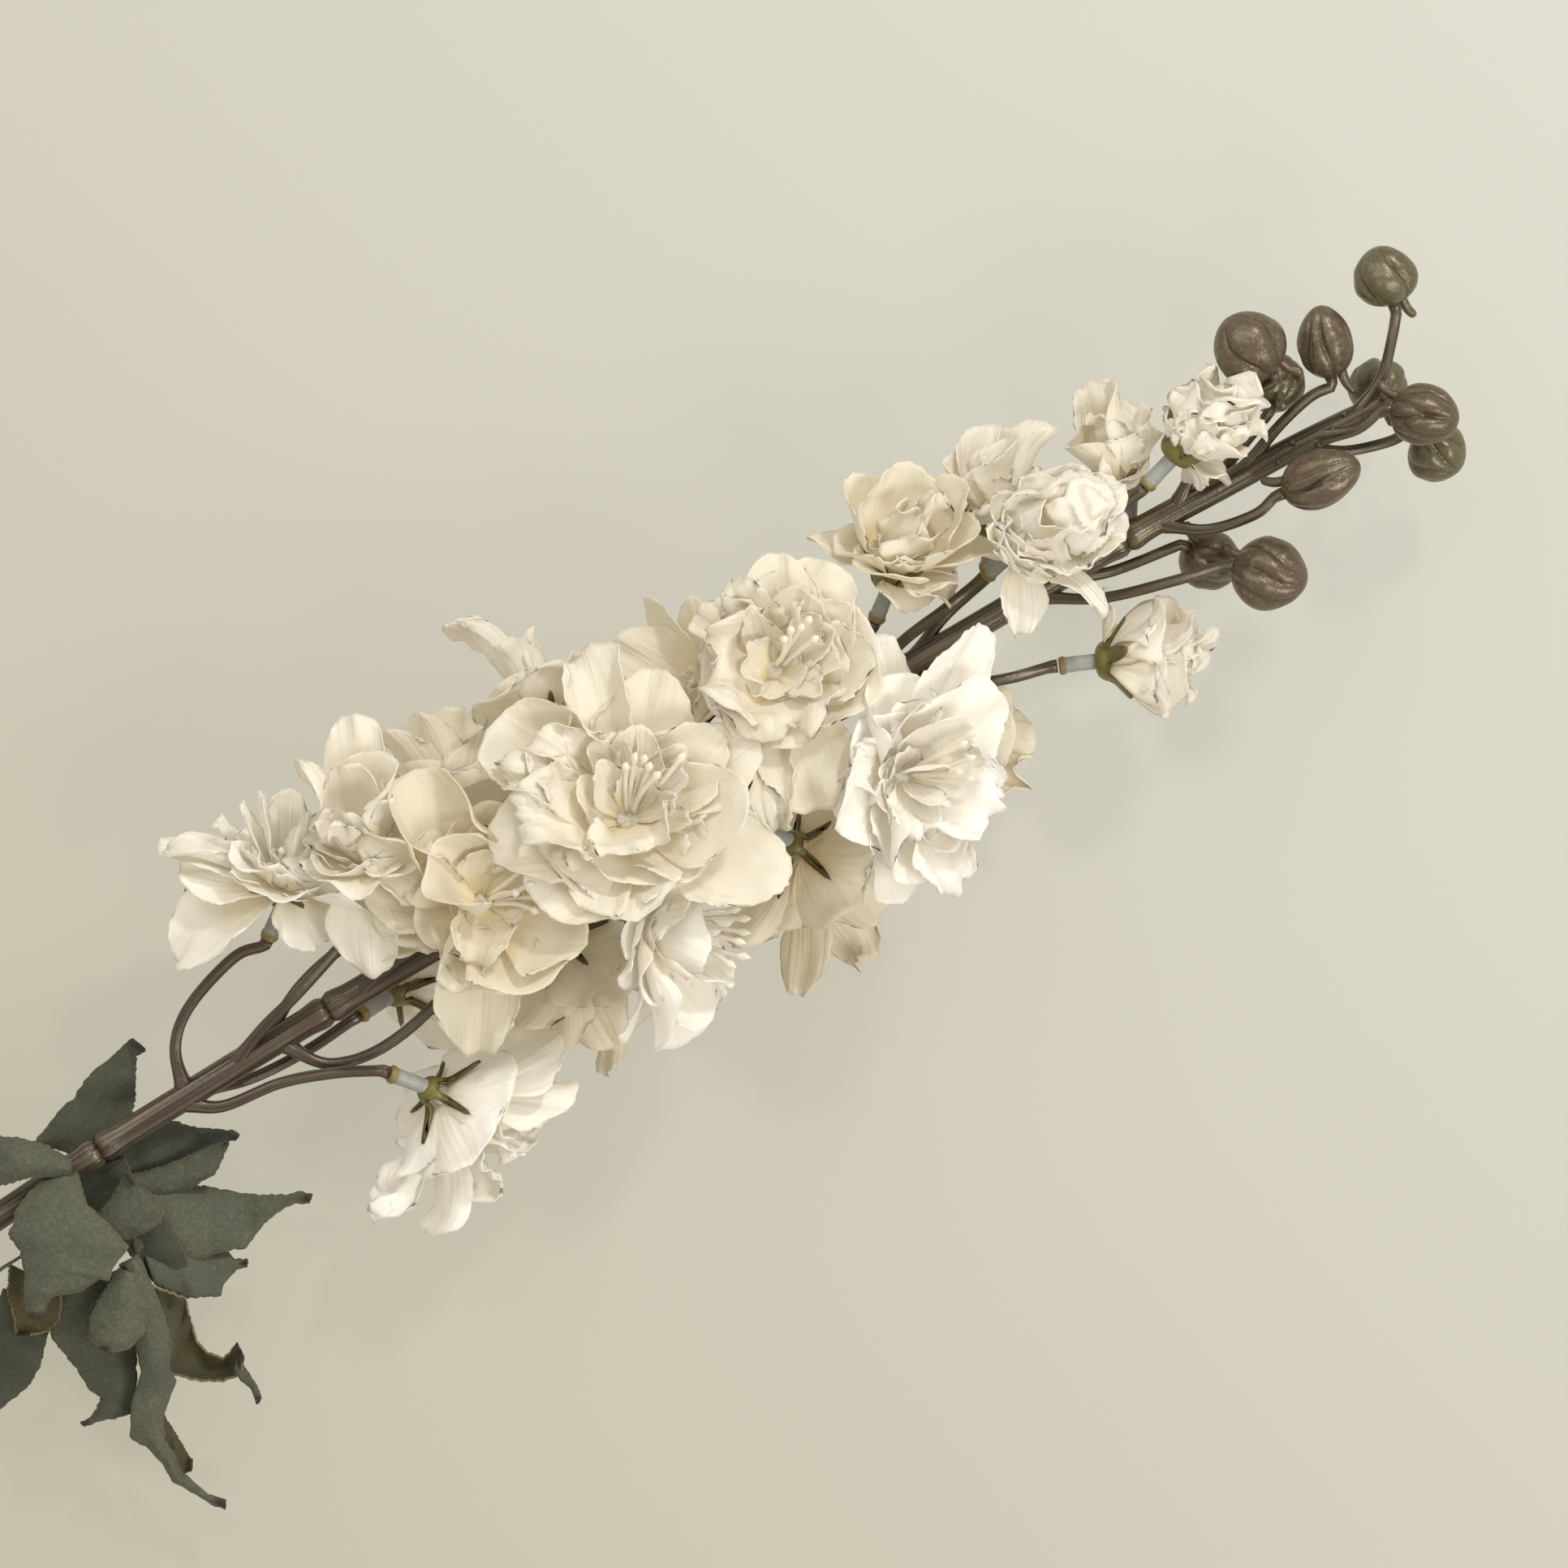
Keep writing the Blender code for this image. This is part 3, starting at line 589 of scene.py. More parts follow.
def flower_layout(flower):
    """A flower's base and facing, where its calyx and sleeve start, and its pedicel's route."""
    _, base, facing, _, root, way = flower
    base = Vector(base)
    facing = Vector(facing).normalized()
    along = (base - Vector(way[-1])).normalized()
    sleeve_way = facing.lerp(along, 0.5).normalized()
    calyx_foot = base - facing * CALYX_DEPTH
    sleeve_foot = calyx_foot - sleeve_way * SLEEVE_LENGTH
    straight = sleeve_foot - sleeve_way * (GAP + STRAIGHT_END)
    route = smooth_route([on_stem(root), *way, straight], 8)
    route.append(sleeve_foot - sleeve_way * GAP)
    return base, facing, calyx_foot, sleeve_foot, route


def bud_layout(bud):
    """A bud's facing and its stalk's route, which ends inside the bud."""
    _, centre, facing, _, length, root, way = bud
    facing = Vector(facing).normalized()
    foot = Vector(centre) - facing * (length / 2 + GAP)
    route = smooth_route([on_stem(root), *way, foot - facing * STRAIGHT_END], 8)
    return facing, route + [foot + facing * STALK_SINK]


def new_shape():
    """An empty bmesh with a map for textures."""
    shape = bmesh.new()
    shape.loops.layers.uv.new("UVMap")
    return shape


def add_grid(shape, across, along):
    """Add a flat grid and return its vertices with their across and along shares."""
    made = bmesh.ops.create_grid(shape, x_segments=across, y_segments=along, size=0.5,
                                 calc_uvs=True)["verts"]
    return [(vert, vert.co.x + 0.5, vert.co.y + 0.5) for vert in made]


def add_ball(shape, around, rings):
    """Add a ball of radius 1 and return its vertices."""
    return bmesh.ops.create_uvsphere(shape, u_segments=around, v_segments=rings, radius=1,
                                     calc_uvs=True)["verts"]


def add_tube(shape, line, radius_at, sides, rings):
    """Wrap a grid round a line and close its ends."""
    grid = add_grid(shape, sides, rings)
    for vert, turn, share in grid:
        ring = round(share * rings)
        run = min(1.0, max(0.0, (ring - 1) / (rings - 2)))
        point, side, up = line.at(run)
        angle = 2 * math.pi * turn
        radius = 0.0 if ring in (0, rings) else radius_at(run, angle)
        vert.co = point + swing(side, up, angle) * radius
    bmesh.ops.remove_doubles(shape, verts=[vert for vert, _, _ in grid], dist=MERGE)


def add_piece(name, shape, materials, slot, replaced, wall=0.0, closed=False):
    """Turn a shape in the stem's frame into a piece of the spray."""
    if closed:
        bmesh.ops.recalc_face_normals(shape, faces=shape.faces)
    shape.transform(STEM_TO_WORLD)
    mesh = bpy.data.meshes.new(name)
    shape.to_mesh(mesh)
    shape.free()
    for stuff in materials:
        mesh.materials.append(stuff)
    mesh.shade_smooth()
    piece = bpy.data.objects.new(name, mesh)
    bpy.context.scene.collection.objects.link(piece)
    if wall:
        sheet = piece.modifiers.new("Wall", "SOLIDIFY")
        sheet.thickness = wall
        sheet.offset = 0.0
        sheet.use_even_offset = False
        sheet.material_offset = len(materials) - 1
    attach(piece, "root")
    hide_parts(*replaced)


def paint(shape, name, value):
    """Give every point of a shape the same value of a named layer."""
    layer = shape.verts.layers.float.new(name)
    for vert in shape.verts:
        vert[layer] = value


# ---------------------------------------------------------------- petals

# How a sheet is shaped: how much it closes on the way from claw to tip (bend), how much its
# side edges turn in (cup) and its last stretch rolls out (roll), in degrees; the height of its
# rim's waves and of its crumples; how round its outline is.
Style = namedtuple("Style", "bend cup roll ruffle crumple rounding")
STYLES = {
    "broad": Style(25, 38, 15, 1.1, 0.9, 0.34),
    "bowl": Style(60, 65, 12, 0.8, 0.7, 0.32),
    "bell": Style(28, 100, 50, 0.6, 0.45, 0.34),
    "lip": Style(45, 45, 105, 2.0, 1.9, 0.22),
    "drop": Style(-35, 32, 10, 0.9, 0.8, 0.34),
    "curl": Style(10, 85, 60, 0.9, 1.6, 0.15),
    "fold": Style(20, 115, 15, 0.9, 0.9, 0.28),
    "flat": Style(-8, 14, 0, 0.7, 0.5, 0.30),
    "spoon": Style(30, 45, 0, 0.4, 0.4, 0.38),
    "crumple": Style(60, 55, 70, 1.2, 2.2, 0.30),
    "puff": Style(85, 42, 75, 0.9, 1.9, 0.38),
    "fringe": Style(5, 30, 40, 2.8, 3.2, 0.16),
}

# Petals that stand out on each flower: the tip's place from the flower's base, as lengths to
# the right, up and towards the camera, then the half width and the style. A last number is how
# far the sheet is turned about its own middle line in degrees.
PETALS = {
    1: [(-26, 9, 2, 7, "flat"), (-22, 3, 3, 8, "flat", 20), (-15, 13, -3, 5, "broad"),
        (-23, -16, 1, 11, "drop"), (5, -13, 3, 9, "drop"), (18, -5, 5, 4.5, "fold"),
        (14, 0, 9, 6, "bowl"), (-9, 17, 7, 3, "spoon"), (-5, 19, 8, 3, "spoon"),
        (1, 20, 2, 4.5, "spoon"), (5, 15, 8, 3.5, "spoon"), (9, 10, 9, 3.5, "spoon"),
        (-12, 8, 9, 6, "broad"), (-24, 6, 5, 4, "curl")],
    2: [(-3, 30, 3, 7, "broad"), (5, 22, 6, 7, "fold"), (-2, 20, 12, 7, "bowl"),
        (-13, 17, 6, 6, "lip"), (6, 14, 12, 5, "bowl", 30), (-8, 5, 13, 5, "lip"),
        (12, 10, 4, 8, "broad"), (0, -23, -5, 8, "drop"), (-3, 10, 13, 4, "spoon")],
    3: [(-15, 18, 2, 8, "broad"), (-7, 22, 3, 8, "broad"), (1, 23, 1, 9, "broad"),
        (9, 18, 3, 8, "bowl"), (10, 12, 8, 8, "bowl")],
    4: [(-24, 5, 2, 9, "broad"), (-24, 13, 8, 5, "curl", 30), (-13, 27, 7, 8, "fold"),
        (7, 20, 7, 11, "bowl"), (16, -15, 7, 14, "bowl"), (23, -3, 8, 13, "bowl"),
        (-3, -31, -5, 9, "drop"), (-30, -7, -9, 8, "broad"), (-8, -17, 6, 5, "fold", 20),
        (-11, 8, 14, 8, "fold", -30), (-22, -4, 0, 9, "broad"), (3, -19, 3, 10, "bowl"),
        (-2, -12, 9, 6, "curl"), (5, 10, 8, 7, "bowl"), (10, 3, 6, 6, "bowl")],
    5: [(-14, 14, 4, 8, "flat"), (2, 17, -8, 8, "broad")],
    6: [(24, 13, -9, 14, "flat"), (27, 2, -10, 11, "broad"), (20, -8, -11, 8, "fringe"),
        (13, -14, -10, 8, "fringe"), (7, -22, -9, 9, "fringe"), (-9, -17, -3, 7, "broad"),
        (-15, -25, -7, 5, "fringe"), (-4, -28, -8, 5.5, "curl"), (3, -12, -4, 10, "broad")],
    7: [(33, -12, 2, 11, "broad"), (26, 18, 4, 9, "broad"), (25, 4, 10, 11, "bowl"),
        (18, 19, 5, 10, "broad"), (5, 31, 1, 11, "broad"), (-10, 34, 0, 7, "curl"),
        (-27, 20, 3, 9, "fold"), (-19, 17, 9, 10, "crumple"), (-26, 10, 9, 6, "lip"),
        (-22, 1, 12, 11, "lip"), (-19, -16, 4, 15, "broad"), (-28, -3, 2, 12, "broad"),
        (4, -6, 12, 10, "lip"), (3, -13, 8, 11, "bowl"), (-6, -19, 3, 11, "broad"),
        (15, -10, 8, 9, "bowl"), (-6, 11, 11, 4.5, "spoon"), (3, 11, 12, 4.5, "spoon"),
        (10, 5, 11, 3, "spoon"), (13, 0, 10, 3, "spoon"), (11, 11, 10, 3, "spoon"),
        (-5, 17, 9, 5, "bowl"), (11, 16, 8, 4, "bowl"), (3, 19, 8, 7, "bowl"),
        (-10, 6, 10, 5, "bowl")],
    8: [(-22, 17, -2, 5, "curl", 20), (-11, 14, 3, 4, "fold"), (-4, 18, -6, 7, "broad")],
    9: [(-5, -24, -4, 7, "drop"), (3, -26, -2, 8, "fold"), (12, -21, 0, 10, "bowl"),
        (16, -13, 4, 8, "bowl"), (9, 4, 8, 7, "bowl"), (17, 1, 4, 5, "spoon"),
        (12, -7, 12, 8, "bowl"), (1, -18, 7, 7, "bowl"), (14, -2, 9, 4, "spoon")],
    10: [(9, -22, -4, 8, "broad"), (-1, -23, -4, 9, "broad"), (8, -27, -8, 4, "curl"),
         (13, -11, 2, 8, "broad"), (11, 3, 2, 8, "broad")],
    11: [(12, 22, 2, 12, "broad"), (2, 24, 2, 10, "broad"), (22, -2, 6, 11, "bowl"),
         (20, 9, 5, 11, "bowl"), (-15, 13, 6, 8, "crumple"), (-8, 19, 5, 7, "crumple"),
         (-14, 1, 9, 13, "lip"), (2, -13, 8, 12, "lip"), (10, -28, -2, 10, "drop"),
         (1, -32, -1, 3.5, "curl"), (6, 17, 8, 7, "bowl"), (-4, 12, 10, 4, "spoon"),
         (10, -3, 11, 4, "spoon"), (13, 3, 10, 4, "spoon"), (-6, 3, 11, 5, "bowl"),
         (12, 9, 9, 5, "bowl")],
    12: [(-14, 21, 1, 9, "flat"), (-20, 12, 2, 8, "flat"), (-5, 21, 2, 8, "flat")],
    13: [(17, 31, 2, 9, "flat"), (20, 18, 6, 11, "broad"), (-3, 29, 0, 6, "broad"),
         (-4, 20, 6, 7, "fold"), (-13, -8, 2, 8, "broad"), (-9, 4, 8, 8, "lip"),
         (-2, -26, 0, 9, "bowl"), (5, -22, 4, 8, "fold"), (11, -24, 3, 7, "lip"),
         (20, -8, 7, 11, "lip"), (13, 12, 12, 8, "bowl"), (4, 14, 9, 6, "bowl"),
         (9, 2, 13, 4, "spoon"), (9, -6, 12, 3.5, "spoon"), (-2, -9, 10, 5, "bowl"),
         (4, -13, 9, 6, "lip"), (13, -14, 7, 7, "bowl"), (1, 5, 12, 4, "spoon")],
    14: [(14, 6, -3, 8, "broad"), (17, -14, -6, 8, "broad"), (-1, -30, -4, 6, "drop"),
         (14, -23, -8, 6.5, "lip"), (-14, -20, -4, 8, "broad")],
    15: [(18, 2, 0, 8, "broad"), (12, 11, 1, 8, "broad"), (15, -8, 1, 8, "lip")],
    16: [(-8, 19, 4, 9, "bowl"), (3, 21, 4, 10, "bowl"), (14, 18, 2, 9, "bowl"),
         (17, 9, 6, 10, "bowl"), (22, 2, 2, 8, "drop"), (3, -9, 3, 8, "drop"),
         (-18, 6, 1, 6, "flat"), (12, -8, 0, 8, "drop"), (2, 12, 9, 6, "crumple"),
         (10, 13, 8, 6, "crumple"), (7, 6, 10, 7, "bowl")],
    17: [(-1, 18, 1, 4.5, "fold"), (-8, 12, 3, 7, "bowl"), (6, 16, 4, 7, "fold"),
         (13, 18, -1, 4.5, "fold"), (1, 14, 7, 8, "bowl"), (-3, 8, 9, 7, "puff"),
         (10, 9, 5, 7, "puff"), (4, 4, 8, 6, "puff")],
    18: [(-1, -19, -3, 5.5, "drop"), (17, -15, 2, 3.5, "drop"), (1, -8, 5, 8, "drop"),
         (11, -6, 6, 8, "drop"), (3, 14, 5, 9, "puff"), (13, 15, 4, 9, "puff"),
         (21, 10, 5, 9, "puff"), (21, 1, 5, 9, "puff"), (5, 3, 14, 9, "puff"),
         (10, 11, 11, 9, "crumple"), (15, 3, 13, 9, "crumple"), (3, -2, 10, 8, "bowl")],
    19: [(-7, 20, 1, 7, "puff"), (-2, 21, 2, 5, "fold"), (5, 15, 3, 7, "puff"),
         (-12, 6, 2, 6, "fold"), (8, 10, 2, 7, "fold"), (-7, 12, 6, 8, "crumple"),
         (0, 8, 8, 8, "puff"), (3, 4, 6, 6, "crumple")],
    20: [(-2, 11, 2, 8, "puff"), (4, 16, 3, 8.5, "puff"), (10, 14, 4, 8, "lip"),
         (16.5, 8, 2, 5.5, "fold"), (16.5, 2, 3, 7, "puff"), (12, -2, 5, 8, "bowl"),
         (8.5, -7.5, -6, 8, "broad"), (2, -8.5, -8, 6, "broad"), (2, 9, 8, 8.5, "puff"),
         (8, 9.5, 9, 8, "crumple"), (8, 2, 9, 8.5, "puff"), (14, 4.5, 7, 7, "lip")],
    21: [(-3, 15, -3, 6, "broad"), (8, 13, 3, 8.5, "bell"), (14, 10, 2, 5, "curl"),
         (13, 2, 7, 9.5, "bell"), (21, 5, 1, 4, "crumple"), (17, 3, 3, 4.5, "crumple"),
         (16, -2, 3, 4.5, "crumple"), (9, -12, 1, 7.5, "bell"), (14, -9, 1, 3.5, "curl")],
}

# Crumpled cores of the tight blooms: the middle's place, as above, the size across the bloom
# and how much longer it is than wide.
KNOTS = {17: (1, 8, 2, 5.0, 0.1), 18: (11, 6, 6, 7.5, 0.0), 19: (0, 10, 2, 5.0, 0.2),
         20: (8, 5, 2, 5.8, 0.1), 21: (11, 1, 0, 5.0, 0.35)}
# How pale each flower's cloth is, cream at 0: partly the cloth's own colour, partly painted light
# that makes flowers lying in light paler and those in shade creamier.
WHITENESS_AND_LIGHT = {1: 0.75, 2: 0.45, 3: 0.25, 4: 0.0, 5: 0.6, 6: 0.95, 7: 0.35, 8: 0.5, 9: 1.0,
             10: 0.1, 11: 0.25, 12: 0.2, 13: 1.0, 14: 0.0, 15: 0.1, 16: 0.15, 17: 0.6,
             18: 0.6, 19: 0.3, 20: 0.6, 21: 0.5}

# Tips of the stamens that show, from the flower's base, in the camera's view as above.
STAMENS = {
    4: [(11, 4, 11), (13, 1, 10), (9, 7, 11), (12, -2, 10), (8, 2, 12)],
    7: [(2, 14, 13), (4, 13.5, 14), (5, 12, 14), (7, 10, 14), (12, 14, 12), (0, 12, 12)],
    9: [(21, 1, 7), (21, -2, 8), (20, -4, 9), (21, -7, 7), (19, 3, 6), (18, -9, 8)],
    11: [(7.5, 11, 13), (6, 9.5, 13), (3.5, 9, 13), (2, 7, 13), (9, 7, 12)],
    13: [(16, 9.5, 11), (15.5, 4, 12), (15.5, -0.5, 12), (14, 7, 12), (13, 1, 13)],
}

WIDE_BLOOM = 19          # radius from which a bloom is wide open, not half open
OPEN_RADIUS = 30         # radius of the bloom that the open whorls' sizes are for
TIGHT_RADIUS = 16        # and of the one that the tight whorls' sizes are for
BELLS = (21,)            # half-open blooms that are a smooth bell outside
CLAW_SINK = 2.6          # how deep a half-open bloom's petals sit in their calyx
CLAW_START = 1.2         # where a marked petal starts, from the middle of its bloom
LINE_STEPS = 40          # steps along a petal's middle line
WIDEST = 0.62            # where along a petal its blade is widest
RIM_CENTRE = 0.35        # where along a petal the middle of its rounded rim is
CRUSHED = 1.5            # crumple from which a petal has sharp folds
FLOOR_CLEARANCE = 0.4
FLOOR_SOFTNESS = 0.9     # how gently a petal bends where it meets the floor


def bloom_axes(facing):
    """A bloom's facing, and the directions that its turns of 0 and 90 degrees point in."""
    stem_way = Vector((0, 1, 0)) if abs(facing.x) > 0.9 else Vector((1, 0, 0))
    first = (stem_way - facing * facing.dot(stem_way)).normalized()
    return facing, first, facing.cross(first)


def petal_line(style):
    """A petal's middle line: places along and towards its inner face, and its headings.

    The line ends, or reaches furthest, one unit straight ahead.
    """
    ahead, inward = 0.0, 0.0
    line = []
    for step in range(LINE_STEPS + 1):
        share = step / LINE_STEPS
        heading = math.radians(style.bend * (share - 0.5)
                               - style.roll * smoothstep(0.66, 1.0, share))
        line.append((ahead, inward, heading))
        ahead += math.cos(heading) / LINE_STEPS
        inward += math.sin(heading) / LINE_STEPS
    far_ahead, far_inward, _ = max(line, key=lambda point: math.hypot(point[0], point[1]))
    size = math.hypot(far_ahead, far_inward)
    tilt = math.atan2(far_inward, far_ahead)
    return [(swing(a, b, tilt) / size, swing(b, a, -tilt) / size, heading - tilt)
            for a, b, heading in line]


def petal_width(share):
    """Half width along a petal, over its widest: a narrow claw, then a broad blade."""
    rise = math.sin(math.pi / 2 * min(1.0, share / WIDEST))
    fall = max(0.0, (share - WIDEST) / (1 - WIDEST))
    return (0.22 + 0.78 * rise ** 1.2) * (1 - 0.2 * fall * fall)


def above_floor(point):
    """Flatten whatever would dip under the floor."""
    low = FLOOR + FLOOR_CLEARANCE
    if point.z < low + 3:
        point.z = low + FLOOR_SOFTNESS * math.log1p(math.exp((point.z - low) / FLOOR_SOFTNESS))
    return point


def petal_grid(half):
    """How finely a marked petal is divided, across and along, for its half width."""
    if half < 5:
        return 10, 14
    return (20, 24) if half >= 9 else (16, 18)


def add_petal(shape, claw, tip, half, style, facing, seed, cut, size, turn=0):
    """Add one petal's sheet, from its claw to its tip."""
    chord = tip - claw
    reach = chord.length
    ahead = chord.normalized()
    face = (facing - ahead * facing.dot(ahead)).normalized()
    across_way = ahead.cross(face)
    line = petal_line(style)
    dice = random.Random(seed)
    phase = [dice.uniform(0, 2 * math.pi) for _ in range(3)]
    waves = dice.uniform(1.6, 2.6)
    twist = dice.uniform(-12, 12)
    sway = dice.uniform(-0.06, 0.06) * reach
    cup = math.radians(style.cup)
    arc_radius = half / math.sin(min(cup, math.pi / 2))
    offset = Vector((seed * 3.7 % 97, seed * 1.3 % 89, 0))
    rounding = min(style.rounding, 0.85 * half / reach)
    for vert, across, along in add_grid(shape, *size):
        u = 2 * across - 1
        share = along * (1 - rounding * abs(u) ** 2.5 * along ** 1.5)
        at = min(LINE_STEPS - 1, int(share * LINE_STEPS))
        t = share * LINE_STEPS - at
        out, inward, heading = (a + (b - a) * t for a, b in zip(line[at], line[at + 1]))
        point = claw + ahead * reach * out + face * reach * inward
        way = swing(ahead, face, heading)
        lift = swing(face, ahead, -heading)
        tilt = math.radians(turn + twist * share)
        side, lift = swing(across_way, lift, tilt), swing(lift, across_way, -tilt)
        width = petal_width(along)
        arc = cup * u * width
        edge = math.hypot(u, max(0.0, along - RIM_CENTRE) / (1 - RIM_CENTRE))
        ring = math.atan2(u, along - RIM_CENTRE)
        rim = smoothstep(0.4, 1.05, edge) * smoothstep(0.0, 0.45, along)
        wave = math.sin(waves * ring * 2 + phase[0]) + 0.4 * math.sin(5.3 * ring + phase[1])
        spot = Vector((u * half * width, share * reach, 0)) * 0.17 + offset
        cloud = noise.noise(spot) + 0.3 * noise.noise(spot * 2.3)
        pleat = noise.noise(Vector((u * 1.7 + seed, share * 0.8, 0)))
        crush = 0.0
        if style.crumple > CRUSHED:
            crush = 0.4 - 1.6 * abs(noise.noise(spot * 1.7 + offset))
            wave += 0.45 * rim * math.sin(11 * ring + phase[2] + 5 * cloud)
        bulge = (style.ruffle * rim * wave
                 + style.crumple * (cloud * (0.35 + 0.8 * rim) + (pleat + crush * 0.7) * rim))
        nick = 0.0
        if abs(u) > 0.99 or along > 0.99:
            nick = cut * (noise.noise(Vector((ring * 9, seed, 0.5)))
                          + 1.5 * noise.noise(Vector((ring * 31, seed, 2.5))))
            nick *= smoothstep(0.1, 0.4, along)
        sideways = arc_radius * math.sin(arc) + sway * share ** 2 + nick * u
        vert.co = above_floor(point + side * sideways + lift * arc_radius * (1 - math.cos(arc))
                              + way * nick + swing(lift, side, -arc) * bulge)


# A ring of like petals: how many, the first one's turn, their lean from the facing, their
# reach, half width and style, and how far each strays from this, in degrees.
Whorl = namedtuple("Whorl", "count start lean reach half style spread")


def add_whorl(shape, whorl, base, axes, seed, cut, size):
    """Petals evenly round a bloom, each a little different."""
    facing, first, second = axes
    dice = random.Random(seed)
    style = STYLES[whorl.style]
    for step in range(whorl.count):
        turn = math.radians(whorl.start + 360 * step / whorl.count
                            + dice.uniform(-1, 1) * whorl.spread)
        lean = math.radians(whorl.lean + dice.uniform(-0.6, 0.6) * whorl.spread)
        radial = swing(first, second, turn)
        claw = base + radial * 0.4
        tip = claw + swing(facing, radial, lean) * whorl.reach * dice.uniform(0.86, 1.08)
        own = style._replace(bend=style.bend + dice.uniform(-12, 12),
                             cup=max(8, style.cup + dice.uniform(-18, 18)),
                             roll=style.roll * dice.uniform(0.6, 1.4))
        add_petal(shape, claw, tip, whorl.half * dice.uniform(0.88, 1.12), own, facing,
                  seed + step, cut, size)


def open_whorls(scale, marked):
    """Outer, inner and heart whorls of a wide open bloom; fewer where petals are marked."""
    if marked:
        return ([Whorl(5, 20, 80, 18 * scale, 12 * scale, "broad", 8)],
                [Whorl(5, 15, 52, 9 * scale, 5.5 * scale, "spoon", 14)], [])
    return ([Whorl(5, 20, 76, 20 * scale, 12 * scale, "broad", 8)],
            [Whorl(4, 55, 56, 16 * scale, 10 * scale, "bowl", 14)],
            [Whorl(6, 0, 48, 13.5 * scale, 5.0 * scale, "spoon", 18),
             Whorl(5, 30, 28, 12 * scale, 4.2 * scale, "spoon", 18),
             Whorl(4, 10, 12, 9 * scale, 3.8 * scale, "spoon", 14),
             Whorl(3, 40, 6, 7 * scale, 3.4 * scale, "spoon", 14)])


def tight_whorls(scale, bell):
    """Whorls of a half-open bloom: crumpled, or smooth outside."""
    if bell:
        return ([Whorl(5, 50, 36, 13 * scale, 9.5 * scale, "bell", 5)],
                [Whorl(3, 10, 14, 15 * scale, 4.5 * scale, "crumple", 8)], [])
    return ([Whorl(5, 10, 52, 11 * scale, 7.5 * scale, "bowl", 10)],
            [Whorl(4, 45, 34, 10.5 * scale, 6.5 * scale, "puff", 14)],
            [Whorl(3, 0, 14, 9.5 * scale, 5 * scale, "puff", 20)])


def stamen_radius(radius):
    """A stamen's radius along it: a thin rod that ends in a bead."""
    def at(share, _):
        return radius * (1 + 0.9 * hump(share, 0.92, 0.06)) * round_end(share, 0.9)
    return at


def add_stamens(shape, base, axes, tips, length, seed, radius):
    """Rods with a bead at the tip: at given tips, or else in a loose tuft."""
    facing, first, second = axes
    dice = random.Random(seed)
    rods = []
    for place in tips or []:
        tip = in_view(base, *place)
        rods.append((base.lerp(tip, 0.2), tip))
    for step in range(0 if tips else 6):
        turn = math.pi / 3 * step + dice.uniform(-0.3, 0.3)
        radial = swing(first, second, turn)
        lean = math.radians(dice.uniform(4, 26))
        foot = base + radial * dice.uniform(0.5, 1.8)
        rods.append((foot, foot + swing(facing, radial, lean) * length * dice.uniform(0.8, 1.1)))
    for foot, tip in rods:
        bow = first * dice.uniform(-0.8, 0.8) + second * dice.uniform(-0.8, 0.8)
        line = Line(smooth_route([foot, foot.lerp(tip, 0.5) + bow, tip], 4), first + second)
        add_tube(shape, line, stamen_radius(radius), 8, 14)


def add_knot(shape, centre, radius, stretch, axes, seed, rings):
    """Add a ball of tightly folded cloth."""
    facing, first, second = axes
    noise.seed_set(seed)     # which noise_vector draws its offsets from
    offset = Vector((seed * 1.7 % 61, seed * 2.9 % 67, 0))
    for vert in add_ball(shape, 3 * rings // 2, rings):
        way = first * vert.co.x + second * vert.co.y + facing * vert.co.z
        spot = way * 1.1 + offset
        spot += noise.noise_vector(spot) * 0.9
        fold = 1 - 2.4 * abs(noise.noise(spot))
        fine = 1 - 2.0 * abs(noise.noise(spot * 2.4))
        swirl = way.cross(facing) * 0.25 * fold
        size = radius * (0.80 + 0.34 * fold + 0.05 * fine)
        vert.co = above_floor(centre + (way + facing * stretch * vert.co.z + swirl) * size)


